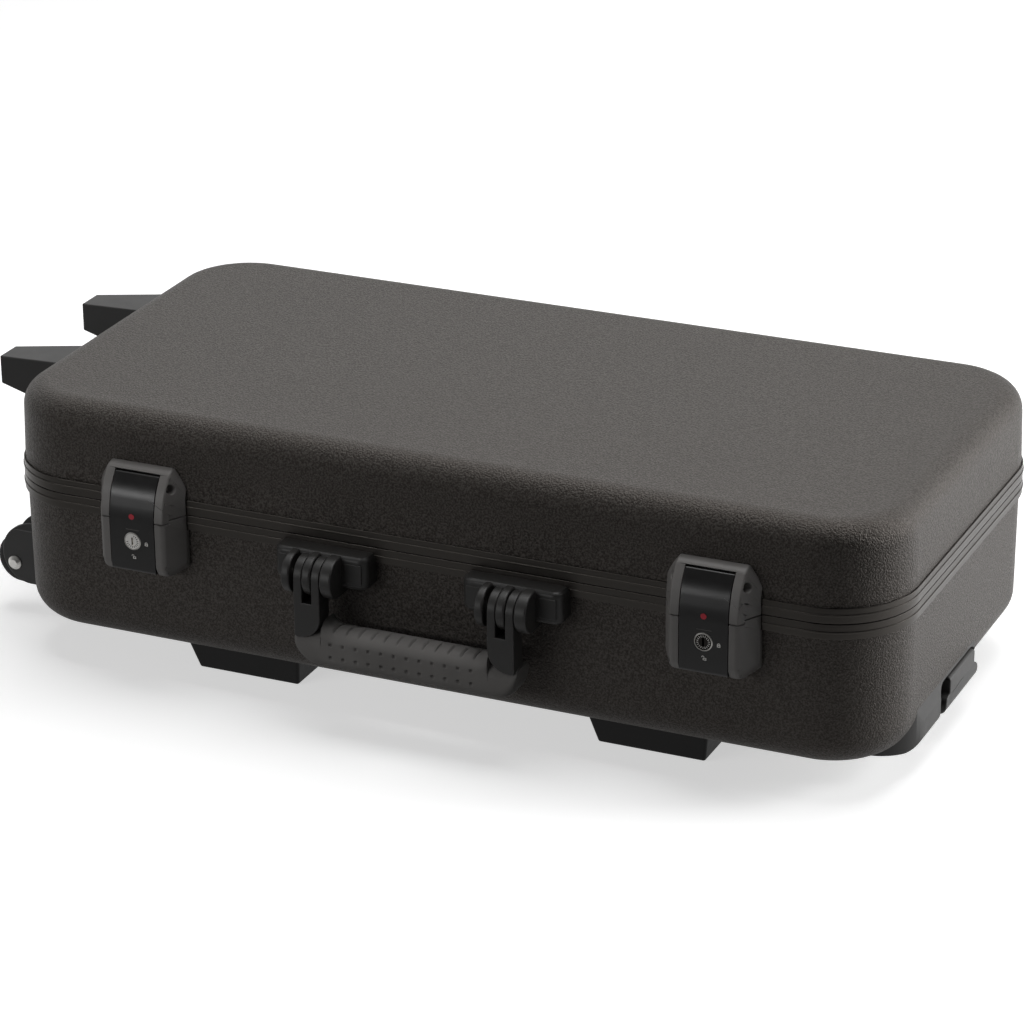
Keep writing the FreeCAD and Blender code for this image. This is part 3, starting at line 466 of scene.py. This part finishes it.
# Places on the hasp, from the lock's middle.
closed_sign_x, closed_sign_z = 9.8, -0.6
open_sign_x, open_sign_z = 1.0, -10.6
line_left, line_right, line_low, line_high = -4.4, 5.2, 7.6, 8.1
dot_height, dot_radius = 16.5, 1.9
for side in ("left", "right"):
    lock_x, lock_z = lock_middle(side)
    softened(f"hasp_{side}", 0.35 * MM, satin_abs, "hasp")
    signs, line, dot = bmesh.new(), bmesh.new(), bmesh.new()
    padlock_sign(signs, lock_x + closed_sign_x, lock_z + closed_sign_z, False)
    padlock_sign(signs, lock_x + open_sign_x, lock_z + open_sign_z, True)
    printed(line, square_outline(lock_x + line_left, lock_x + line_right,
                                 lock_z + line_low, lock_z + line_high))
    printed(dot, round_outline(lock_x, lock_z + dot_height, dot_radius))
    for kind, mesh, film in (("signs", signs, white_ink), ("line", line, grey_ink), ("dot", dot, red_ink)):
        finished(f"hasp_{kind}_{side}", mesh, film, "hasp", body=f"hasp_{side}")


# Locks: a die-cast zinc plug, chrome plated, in a bezel pressed from bright steel. The plug's face is
# ringed with short radial notches, filled with enamel, and has the keyhole in its middle.
# Chrome on polished zinc: the left plug mirrors the room, with a slight haze from handling.
chrome, tree, shader, place = start_material("chrome_plated_zinc_polished", {
    "Base Color": hex_linear("#e6e4e0"), "Metallic": 1.0})
haze = add_node(tree, "ShaderNodeTexNoise", {"Vector": place, "Scale": 1 / (0.7 * MM), "Detail": 3.0})
dull = add_node(tree, "ShaderNodeMapRange", {"Value": haze.outputs["Fac"], "To Min": 0.25, "To Max": 0.4})
tree.links.new(dull.outputs[0], shader.inputs["Roughness"])
# Chrome painted dark: the right plug's dark base colour is painted shade, standing for the dimmer reflection
# it shows, and its notches stand out pale on it.
painted_dark_chrome, tree, shader, place = start_material("smoked_chrome_plated_zinc", {
    "Base Color": hex_linear("#33312f"), "Metallic": 1.0})
haze = add_node(tree, "ShaderNodeTexNoise", {"Vector": place, "Scale": 1 / (0.7 * MM), "Detail": 3.0})
dull = add_node(tree, "ShaderNodeMapRange", {"Value": haze.outputs["Fac"], "To Min": 0.16, "To Max": 0.3})
tree.links.new(dull.outputs[0], shader.inputs["Roughness"])
black_fill = ink("black_enamel_filled", "#141313")


def small_block(mesh, at, size, edge, segments):
    """Adds a block with its edges broken; at is the matrix of its place, and its size and edge are in mm."""
    shape = at @ Matrix.Diagonal((*(Vector(size) * MM), 1.0))
    block = bmesh.ops.create_cube(mesh, size=1.0, matrix=shape)
    edges = dict.fromkeys(e for v in block["verts"] for e in v.link_edges)
    bmesh.ops.bevel(mesh, geom=list(edges), offset=edge * MM, segments=segments, affect="EDGES")


notch_spacing = 20
notch_ring = 3.7
notch_size = (1.3, 0.06, 0.42)
# The right plug takes the chrome painted dark, a painted shade for its dimmer reflection.
for side, plating, notch_fill in (("left", chrome, black_fill), ("right", painted_dark_chrome, white_ink)):
    lock_x, lock_z = lock_middle(side)
    plug_face = box_mm(f"lock_plug_{side}")[0].y
    dress(f"lock_bezel_{side}", drawn_steel)
    dress(f"lock_plug_{side}", plating)
    notches = bmesh.new()
    for angle in range(0, 360, notch_spacing):
        if side == "left" and 60 < angle < 180:  # the left plug has a bare stretch
            continue
        turn = Matrix.Rotation(-math.radians(angle + notch_spacing / 2), 4, "Y")
        at = Matrix.Translation(Vector((lock_x, plug_face, lock_z)) * MM) @ turn
        small_block(notches, at @ Matrix.Translation(Vector((notch_ring, 0, 0)) * MM), notch_size, 0.02, 1)
    finished(f"lock_notches_{side}", notches, notch_fill, "lock", body=f"lock_{side}")


# Handle brackets: nylon mouldings, each with two thick lobes and a thin middle one for the handle's
# forked leg, and a square cap pressed over each fixing screw. Their skin is finely pitted and matt.
matt_nylon, tree, shader, place = start_material("black_nylon_moulded_matt", {
    "Base Color": hex_linear("#21201f"), "IOR": 1.53, "Specular IOR Level": 0.42})
spark = add_node(tree, "ShaderNodeTexNoise", {"Vector": place, "Scale": 1 / (0.4 * MM), "Detail": 2.0})
bump = add_node(tree, "ShaderNodeBump", {
    "Height": spark.outputs["Fac"], "Strength": 0.2, "Distance": 0.1 * MM})
flow = add_node(tree, "ShaderNodeTexNoise", {"Vector": place, "Scale": 1 / (11 * MM), "Detail": 3.0})
dull = add_node(tree, "ShaderNodeMapRange", {"Value": flow.outputs["Fac"], "To Min": 0.42, "To Max": 0.54})
tree.links.new(dull.outputs[0], shader.inputs["Roughness"])
tree.links.new(bump.outputs[0], shader.inputs["Normal"])


def rounded_outline(corners, steps=6):
    """Points round an outline of (u, v, radius) corners, each radius turned into an arc."""
    points = []
    for i, (u, v, radius) in enumerate(corners):
        here = Vector((u, v))
        back = (Vector(corners[i - 1][:2]) - here).normalized()
        ahead = (Vector(corners[(i + 1) % len(corners)][:2]) - here).normalized()
        if radius == 0:
            points.append(here)
            continue
        half = back.angle(ahead) / 2
        centre = here + (back + ahead).normalized() * radius / math.sin(half)
        start = here + back * radius / math.tan(half) - centre
        turn = start.angle_signed(here + ahead * radius / math.tan(half) - centre)
        for step in range(steps + 1):
            points.append(centre + Matrix.Rotation(-turn * step / steps, 2) @ start)
    return points


def rounded_slab(mesh, outline, low, high, edge, place):
    """Adds a slab of an outline's shape from low to high, its edges rounded.
    place turns (u, v, w), w being the height in the slab, into a point of the case."""
    count = len(outline)
    area = sum(outline[i - 1].cross(outline[i]) for i in range(count))
    inward = []
    for i in range(count):
        before, here, after = outline[i - 1], outline[i], outline[(i + 1) % count]
        sides = [(here - before).normalized(), (after - here).normalized()]
        normals = [Vector((-s.y, s.x)) * (1 if area > 0 else -1) for s in sides]
        middle = (normals[0] + normals[1]).normalized()
        inward.append(middle / max(middle.dot(normals[0]), 0.5))
    turns = [math.radians(90 * k / 3) for k in range(4)]
    levels = [(low + edge * (1 - math.sin(t)), edge * (1 - math.cos(t))) for t in reversed(turns)]
    levels += [(high - edge * (1 - math.sin(t)), edge * (1 - math.cos(t))) for t in turns]
    rows = [[mesh.verts.new(Vector(place(*(p + n * inset), w)) * MM) for p, n in zip(outline, inward)]
            for w, inset in levels]
    for below, above in zip(rows, rows[1:]):
        for i in range(count):
            j = (i + 1) % count
            mesh.faces.new((below[i], below[j], above[j], above[i]))
    mesh.faces.new(rows[0][::-1])
    mesh.faces.new(rows[-1])


pivot_low, pivot_high = box_mm("handle_pins")
pivot_y, pivot_z = (pivot_low.y + pivot_high.y) / 2, (pivot_low.z + pivot_high.z) / 2
handle_middle = (pivot_low.x + pivot_high.x) / 2
leg_offset = 65.0
block_face = rim_middle.y - 164.0
block_back = block_face + 17
block_top, block_bottom = rim_height - 3.6, rim_height - 25.1
lobe_radius = 13.0
lobe_corner = 12.8
lobe_spans = ((-17.0, -11.4), (-2.9, 2.9), (9.2, 17.0))
lobe_root, lobe_front = pivot_y + 18, pivot_y - lobe_radius
lobe_low, lobe_high = pivot_z - lobe_radius, pivot_z + lobe_radius
lobe = rounded_outline([(lobe_root, lobe_low, 0), (lobe_front, lobe_low, lobe_corner),
                        (lobe_front, lobe_high, lobe_corner), (lobe_root, lobe_high, 0)], 12)
cap_low, cap_high = block_bottom + 4.0, block_top - 4.2
cap_corner = 1.2
caps = bmesh.new()
for side, sign, ends in (("left", -1, (-30.0, 34.0)), ("right", 1, (-33.0, 33.6))):
    middle = handle_middle + sign * leg_offset
    bracket = bmesh.new()
    plan = rounded_outline([(ends[0], block_back, 0), (ends[0], block_face, 7.5),
                            (ends[1], block_face, 6.5), (ends[1], block_back, 0)])
    rounded_slab(bracket, plan, block_bottom, block_top, 3.2, lambda u, v, w: (middle + u, v, w))
    for low, high in lobe_spans:
        rounded_slab(bracket, lobe, low, high, 1.3, lambda u, v, w: (middle + w, u, v))
    bmesh.ops.recalc_face_normals(bracket, faces=bracket.faces)
    finished(f"handle_bracket_{side}_moulded", bracket, matt_nylon, "bracket", f"handle_bracket_{side}")
    for low, high in ((ends[0] + 3.8, -17.2), (18.6, ends[1] - 3.4)):
        cap = rounded_outline([(low, cap_low, cap_corner), (high, cap_low, cap_corner),
                               (high, cap_high, cap_corner), (low, cap_high, cap_corner)], 3)
        rounded_slab(caps, cap, block_face - 0.35, block_face + 3.0, 0.5, lambda u, v, w: (middle + u, w, v))
bmesh.ops.recalc_face_normals(caps, faces=caps.faces)
finished("bracket_caps_pressed", caps, matt_nylon, "cap", "bracket_caps")


# Carry handle: two forked nylon legs on a core, moulded in one, with a soft grip moulded over the core
# and round the legs' toes, which are let into it.
grip_low, grip_high = box_mm("grip_cover")
finger_radius = 12.0
finger_corner = 11.8
leg_half = 8.8
slot_half = 3.2
leg_depth = 13.5
leg_front = pivot_y - finger_radius
leg_back = leg_front + leg_depth
leg_foot = grip_low.z + 19.5
leg_toe = 14.5
slot_foot = pivot_z - 15.0
finger_foot = slot_foot - 4
finger_back = pivot_y + finger_radius
finger_low, finger_high = pivot_z - finger_radius, pivot_z + finger_radius
overlap = 0.06
shank_half = leg_half + overlap
finger = rounded_outline([(leg_front, finger_foot, 0), (leg_front, finger_high, finger_corner),
                          (finger_back, finger_high, finger_corner), (finger_back, finger_low, finger_corner),
                          (leg_back, finger_low, 0), (leg_back, finger_foot, 0)], 12)
legs = bmesh.new()
for sign in (-1, 1):
    middle = handle_middle + sign * leg_offset
    for low, high in ((-leg_half, -slot_half), (slot_half, leg_half)):
        rounded_slab(legs, finger, low, high, 0.8, lambda u, v, w: (middle + w, u, v))
    inner, outer = -sign * shank_half, sign * shank_half
    shank = rounded_outline([(inner, slot_foot, 0), (inner, leg_foot, leg_toe),
                             (outer, leg_foot, 2.0), (outer, slot_foot, 0)])
    rounded_slab(legs, shank, leg_front - overlap, leg_back + overlap, 0.8,
                 lambda u, v, w: (middle + u, w, v))
turned_mesh(legs, (handle_middle, leg_front + leg_depth / 2, grip_low.z + 13.0), (1, 0, 0),
            [(-leg_offset, 5.0), (1 - leg_offset, 6.0), (leg_offset - 1, 6.0), (leg_offset, 5.0)])
bmesh.ops.recalc_face_normals(legs, faces=legs.faces)
finished("handle_frame_moulded", legs, matt_nylon, "handle", "handle_frame")

# Thermoplastic rubber, moulded in a bead-blasted tool: a mid grey without shine, with a fine tooth.
soft_rubber, tree, shader, place = start_material("grey_tpe_rubber_moulded", {
    "Roughness": 0.75, "IOR": 1.5, "Specular IOR Level": 0.15})
tooth = add_node(tree, "ShaderNodeTexNoise", {"Vector": place, "Scale": 1 / (0.4 * MM), "Detail": 2.0})
bump = add_node(tree, "ShaderNodeBump", {
    "Height": tooth.outputs["Fac"], "Strength": 0.25, "Distance": 0.1 * MM})
painted_glint_and_rub_tone = add_node(tree, "ShaderNodeTexNoise", {"Vector": place, "Scale": 1 / (20 * MM), "Detail": 3.0})
tint = add_node(tree, "ShaderNodeMix", {
    0: painted_glint_and_rub_tone.outputs["Fac"], 6: hex_linear("#6c6a68"), 7: hex_linear("#7e7c7a")}, data_type="RGBA")
tree.links.new(tint.outputs[2], shader.inputs["Base Color"])
tree.links.new(bump.outputs[0], shader.inputs["Normal"])

grip_middle = (grip_low.x + grip_high.x) / 2
grip_half = (grip_high.x - grip_low.x) / 2
grip_top = grip_low.z + 26.0
section_round = 8.5
end_round = 15.0
end_squeeze, squeeze_run = 1.6, 3.0
shoulder_drop, end_drop = 3.0, 2.5
lip_rise, lip_run = 5.6, 11
leg_inner = leg_offset - leg_half
dimple_pitch = 8.62
dimple_columns = [(i - 5.5) * dimple_pitch - 2.0 for i in range(12)]
dimple_rows = (grip_low.z + 17.7, grip_low.z + 9.1)
dimple_radius, dimple_depth = 1.3, 1.7
seam_half, seam_depth = 0.9, 0.45
groove_half, groove_depth = 0.9, 1.1
groove_start, groove_end = 2.5, 20
front_heights = [i / 22 for i in range(22)]


def tongue_distance(x, z):
    """How far a point on the grip's front lies outside the leg's rounded toe that is let into it."""
    if leg_inner <= abs(x) <= leg_inner + leg_toe and z < leg_foot + leg_toe:
        return math.hypot(leg_inner + leg_toe - abs(x), leg_foot + leg_toe - z) - leg_toe
    return max(leg_inner - abs(x), abs(x) - leg_offset - leg_half, leg_foot - z)


def grip_section(x):
    """The grip's section at a station: y and z round it, from the front's foot up, over and back."""
    away = grip_half - abs(x)
    lift = end_round - math.sqrt(max(end_round ** 2 - max(end_round - away, 0) ** 2, 0))
    bottom, top = grip_low.z + lift, grip_top
    if abs(x) > leg_inner:
        top = grip_top - shoulder_drop - end_drop * max(0.0, 1 - away / end_drop) ** 2
    elif abs(x) > leg_inner - lip_run:
        top = grip_top + lip_rise * ((abs(x) - (leg_inner - lip_run)) / lip_run) ** 2.5
    squeeze = end_squeeze * (1 - min(away / squeeze_run, 1)) ** 2
    front, back = grip_low.y + squeeze, grip_high.y - squeeze
    radius = min(section_round, (top - bottom) / 2 - 0.05)
    points = [(front, bottom + radius + (top - bottom - 2 * radius) * share) for share in front_heights]
    # Each corner's centre, first angle and steps, then the flat after it: where it ends, and its parts.
    for cy, cz, start, steps, flat in (
            (front + radius, top - radius, 180, 18, (back - radius, top, 10)),
            (back - radius, top - radius, 90, 8, (back, bottom + radius, 4)),
            (back - radius, bottom + radius, 0, 8, (front + radius, bottom, 5)),
            (front + radius, bottom + radius, -90, 12, None)):
        for step in range(1, steps + 1):
            angle = math.radians(start - 90 * step / steps)
            points.append((cy + radius * math.cos(angle), cz + radius * math.sin(angle)))
        if flat:
            y, z = points[-1]
            end_y, end_z, parts = flat
            points += [(y + (end_y - y) * i / parts, z + (end_z - z) * i / parts) for i in range(1, parts)]
    return points


station_pitch = 0.65
end_gap = 0.02
station_count = int(2 * grip_half / station_pitch)
stations = {round(-grip_half + end_gap + i * station_pitch, 3) for i in range(station_count)}
rings = []
for x in sorted(stations | {grip_half - end_gap}):
    ring = []
    for y, z in grip_section(x):
        dent = 0.0
        inward = Vector((0.0, 1.0, 0.0))
        # On the front: two rows of dimples, and a seam round the leg's toe.
        if y < grip_low.y + section_round:
            column = min(dimple_columns, key=lambda c: abs(c - x))
            for row in dimple_rows:
                reach = math.hypot(x - column, z - row) / dimple_radius
                dent = max(dent, dimple_depth * max(0.0, 1 - reach ** 2))
            if grip_low.z + 6 < z < grip_top - 4:
                dent = max(dent, seam_depth * max(0.0, 1 - (tongue_distance(x, z) / seam_half) ** 2))
        # Over the top: a groove from each dimple, which bends aside towards the back.
        run = y - grip_low.y
        if z > grip_top - 9 and groove_start < run < groove_end and abs(x) < leg_inner - 4:
            bend = x - 0.12 * max(run - 12, 0) ** 2 - 0.8
            near = min(abs(bend - column) for column in dimple_columns)
            fade = min(1.0, (run - groove_start) / 2.5, (groove_end - run) / 2)
            cut = groove_depth * fade * max(0.0, 1 - (near / groove_half) ** 2)
            if cut > dent:
                dent = cut
                inward = Vector((0.0, 0.4, -0.9))
        ring.append((Vector((grip_middle + x, y, z)) + inward * dent) * MM)
    rings.append(ring)
finished("grip_soft_cover", lofted(rings), soft_rubber, "grip", "grip_cover", smooth=50.0)


# Wheels: two solid polyurethane tyres on nylon hubs, each between the cheeks of a moulded carrier that
# is bolted over the base's corner, and turning on a plated steel axle with domed ends.
# Cast polyurethane: a dull black that scuffs in use.
cast_polyurethane, tree, shader, place = start_material("black_polyurethane_cast", {
    "Base Color": hex_linear("#1c1b1b"), "Specular IOR Level": 0.35})
scuffs = add_node(tree, "ShaderNodeTexNoise", {"Vector": place, "Scale": 1 / (1.5 * MM), "Detail": 4.0})
dull = add_node(tree, "ShaderNodeMapRange", {"Value": scuffs.outputs["Fac"], "To Min": 0.5, "To Max": 0.75})
bump = add_node(tree, "ShaderNodeBump", {
    "Height": scuffs.outputs["Fac"], "Strength": 0.25, "Distance": 0.2 * MM})
tree.links.new(dull.outputs[0], shader.inputs["Roughness"])
tree.links.new(bump.outputs[0], shader.inputs["Normal"])
# Plated steel, cold-headed: bright, with a little grain.
plated_steel, tree, shader, place = start_material("zinc_plated_steel_headed", {
    "Base Color": hex_linear("#d6d4d0"), "Metallic": 1.0})
haze = add_node(tree, "ShaderNodeTexNoise", {"Vector": place, "Scale": 1 / (0.6 * MM), "Detail": 3.0})
dull = add_node(tree, "ShaderNodeMapRange", {"Value": haze.outputs["Fac"], "To Min": 0.24, "To Max": 0.4})
tree.links.new(dull.outputs[0], shader.inputs["Roughness"])

# Half sections from the outside in: distance from the wheel's middle plane, and radius.
tyre_half = [(7.0, 11.5), (7.0, 13.6), (6.7, 15.0), (6.0, 16.2), (4.8, 16.9), (3.2, 17.0), (0.6, 17.0),
             (0.3, 16.7)]
hub_half = [(7.7, 3.05), (7.7, 6.8), (7.4, 7.2), (5.4, 7.4), (5.0, 7.8), (5.0, 9.6), (5.4, 10.0),
            (6.8, 10.2), (7.0, 10.4), (7.0, 11.5)]
rib_size = (3.2, 1.6, 1.6)
rib_ring, rib_side = 8.7, 5.6
for end in ("front", "back"):
    softened(f"wheel_carrier_{end}", 0.8 * MM, matt_nylon, "fitting", segments=3)
    dress(f"wheel_axle_{end}", plated_steel)
    low, high = box_mm(f"wheel_tyre_{end}")
    centre = (low + high) / 2
    tyre, hub = bmesh.new(), bmesh.new()
    for mesh, half in ((tyre, tyre_half), (hub, hub_half)):
        profile = [(-h, r) for h, r in half] + [(h, r) for h, r in reversed(half)]
        turned_mesh(mesh, centre, (0, 1, 0), profile, 64)
    for spoke in range(5):
        turn = Matrix.Translation(centre * MM) @ Matrix.Rotation(math.radians(72 * spoke), 4, "Y")
        for face in (-1, 1):
            at = turn @ Matrix.Translation(Vector((rib_ring, rib_side * face, 0)) * MM)
            small_block(hub, at, rib_size, 0.3, 2)
    for mesh in (tyre, hub):
        bmesh.ops.recalc_face_normals(mesh, faces=mesh.faces)
    finished(f"wheel_tyre_{end}_cast", tyre, cast_polyurethane, "tyre", f"wheel_tyre_{end}")
    finished(f"wheel_hub_{end}_moulded", hub, filled_nylon, "hub", f"wheel_hub_{end}")


# Stand feet: two wedge-shaped nylon mouldings on the lid's left end. With the wheels they carry the case
# when it is stood on that end.
for name in ("stand_foot_front", "stand_foot_back"):
    softened(name, 0.8 * MM, matt_nylon, "fitting", segments=3)


# Tow handle: a nylon housing let into the right end, a grip with a press button on two drawn aluminium
# tubes that slide in fixed ones, and an anchor that holds the fixed tubes' far ends. The tubes are a pale
# satin, with lines along them from the die.
drawn_aluminium, tree, shader, place = start_material("clear_anodised_aluminium_drawn", {
    "Base Color": hex_linear("#bdbcba"), "Metallic": 1.0})
apart = add_node(tree, "ShaderNodeSeparateXYZ", {"Vector": place})
across = add_node(tree, "ShaderNodeCombineXYZ", {"Y": apart.outputs["Y"], "Z": apart.outputs["Z"]})
draw_lines = add_node(tree, "ShaderNodeTexNoise", {
    "Vector": across.outputs[0], "Scale": 1 / (0.6 * MM), "Detail": 3.0})
dull = add_node(tree, "ShaderNodeMapRange", {
    "Value": draw_lines.outputs["Fac"], "To Min": 0.24, "To Max": 0.42})
bump = add_node(tree, "ShaderNodeBump", {
    "Height": draw_lines.outputs["Fac"], "Strength": 0.12, "Distance": 0.08 * MM})
tree.links.new(dull.outputs[0], shader.inputs["Roughness"])
tree.links.new(bump.outputs[0], shader.inputs["Normal"])
for end in ("front", "back"):
    dress(f"tow_inner_tube_{end}", drawn_aluminium)
    dress(f"tow_outer_tube_{end}", drawn_aluminium)
softened("tow_housing", 0.7 * MM, matt_nylon, "tow_housing")
softened("tow_grip", 0.8 * MM, matt_nylon, "tow_grip", segments=3)
softened("tow_release", 0.5 * MM, satin_abs, "tow_release")
dress("tow_tube_anchor", matt_nylon)


# Setting: a plain pale floor and room. The camera sees them pale all round, and so do reflections of what
# lies behind the case, while its front faces the unlit side of the studio. The floor keeps the shadow.
def seen_directly(tree, lit_side):
    """1 for what the camera, a clear material or a reflection of the lit side sees, 0 for scattered light."""
    path = add_node(tree, "ShaderNodeLightPath", {})
    mirrored = add_node(tree, "ShaderNodeMath", {0: path.outputs["Is Glossy Ray"], 1: lit_side},
                        operation="MULTIPLY")
    first = add_node(tree, "ShaderNodeMath", {0: path.outputs["Is Camera Ray"], 1: mirrored.outputs[0]},
                     operation="MAXIMUM")
    return add_node(tree, "ShaderNodeMath", {0: first.outputs[0], 1: path.outputs["Is Transmission Ray"]},
                    operation="MAXIMUM").outputs[0]


world = bpy.data.worlds.new("pale_room")
bpy.context.scene.world = world
world.use_nodes = True
tree = world.node_tree
outward = add_node(tree, "ShaderNodeTexCoord", {}).outputs["Generated"]
way = add_node(tree, "ShaderNodeSeparateXYZ", {"Vector": outward})
lit_side = add_node(tree, "ShaderNodeMapRange", {
    "Value": way.outputs["Y"], "From Min": -0.5, "From Max": 0.2, "To Min": 0.03, "To Max": 1.0}).outputs[0]
room = add_node(tree, "ShaderNodeMix", {
    0: seen_directly(tree, lit_side), 6: (0.04, 0.04, 0.04, 1.0), 7: (1.0, 1.0, 1.0, 1.0)}, data_type="RGBA")
tree.links.new(room.outputs[2], tree.nodes["Background"].inputs["Color"])

# Painted floor: matt and pale to the eye, but it throws little light back up at the case.
floor_paint, tree, shader, place = start_material("pale_floor_painted", {
    "Roughness": 0.9, "Specular IOR Level": 0.1, "Emission Color": (1.0, 1.0, 1.0, 1.0)})
way = add_node(tree, "ShaderNodeSeparateXYZ", {"Vector": place})
lit_side = add_node(tree, "ShaderNodeMapRange", {
    "Value": way.outputs["Y"], "From Min": -0.45, "From Max": 0.1, "To Min": 0.05, "To Max": 1.0}).outputs[0]
shown = seen_directly(tree, lit_side)
coat = add_node(tree, "ShaderNodeMix", {
    0: shown, 6: (0.1, 0.1, 0.1, 1.0), 7: (0.8, 0.8, 0.8, 1.0)}, data_type="RGBA")
glow = add_node(tree, "ShaderNodeMath", {0: shown, 1: 0.55}, operation="MULTIPLY")
tree.links.new(coat.outputs[2], shader.inputs["Base Color"])
tree.links.new(glow.outputs[0], shader.inputs["Emission Strength"])
floor_half = 9.0
floor_drop = 0.0006
ground = bmesh.new()
bmesh.ops.create_grid(ground, x_segments=4, y_segments=4, size=floor_half)
data = bpy.data.meshes.new("floor")
ground.to_mesh(data)
ground.free()
data.materials.append(floor_paint)
floor = bpy.data.objects.new("floor", data)
floor.location.z = -floor_drop
bpy.context.scene.collection.objects.link(floor)


# Lamps: a large soft one over and behind the case, one beyond its right end, and a low strip at the front
# left that only lifts the latches and the handle. Places and sizes are in metres.
def soft_lamp(name, place, aim, width, height, watts):
    data = bpy.data.lights.new(name, "AREA")
    data.shape = "RECTANGLE"
    data.size = width
    data.size_y = height
    data.energy = watts
    lamp = bpy.data.objects.new(name, data)
    lamp.location = place
    lamp.rotation_euler = (Vector(aim) - Vector(place)).to_track_quat("-Z", "Y").to_euler()
    bpy.context.scene.collection.objects.link(lamp)


soft_lamp("lamp_over", (0.1, 0.5, 2.4), (0, 0, 0), 2.0, 2.0, 45)
soft_lamp("lamp_right", (2.2, 1.1, 0.8), (0.1, 0, 0.1), 1.0, 1.0, 50)
soft_lamp("lamp_strip", (-0.7, -1.3, 0.4), (-0.1, -0.1, 0.1), 1.0, 0.2, 4.5)

# Camera: a long lens from the front right and above, held a little off level.
view_from = Vector((987.24, -2147.46, 1092.67)) * MM
view_to = Vector((-33.76, 117.96, 39.01)) * MM
camera_roll = math.radians(-0.52)
lens = bpy.data.cameras.new("camera")
lens.lens = 140.25
lens.sensor_width = 36.0
lens.clip_start = 0.05
camera = bpy.data.objects.new("camera", lens)
aim = (view_to - view_from).to_track_quat("-Z", "Y").to_matrix().to_4x4()
camera.matrix_world = Matrix.Translation(view_from) @ aim @ Matrix.Rotation(camera_roll, 4, "Z")
bpy.context.scene.collection.objects.link(camera)
bpy.context.scene.camera = camera
bpy.context.scene.view_settings.view_transform = "Standard"
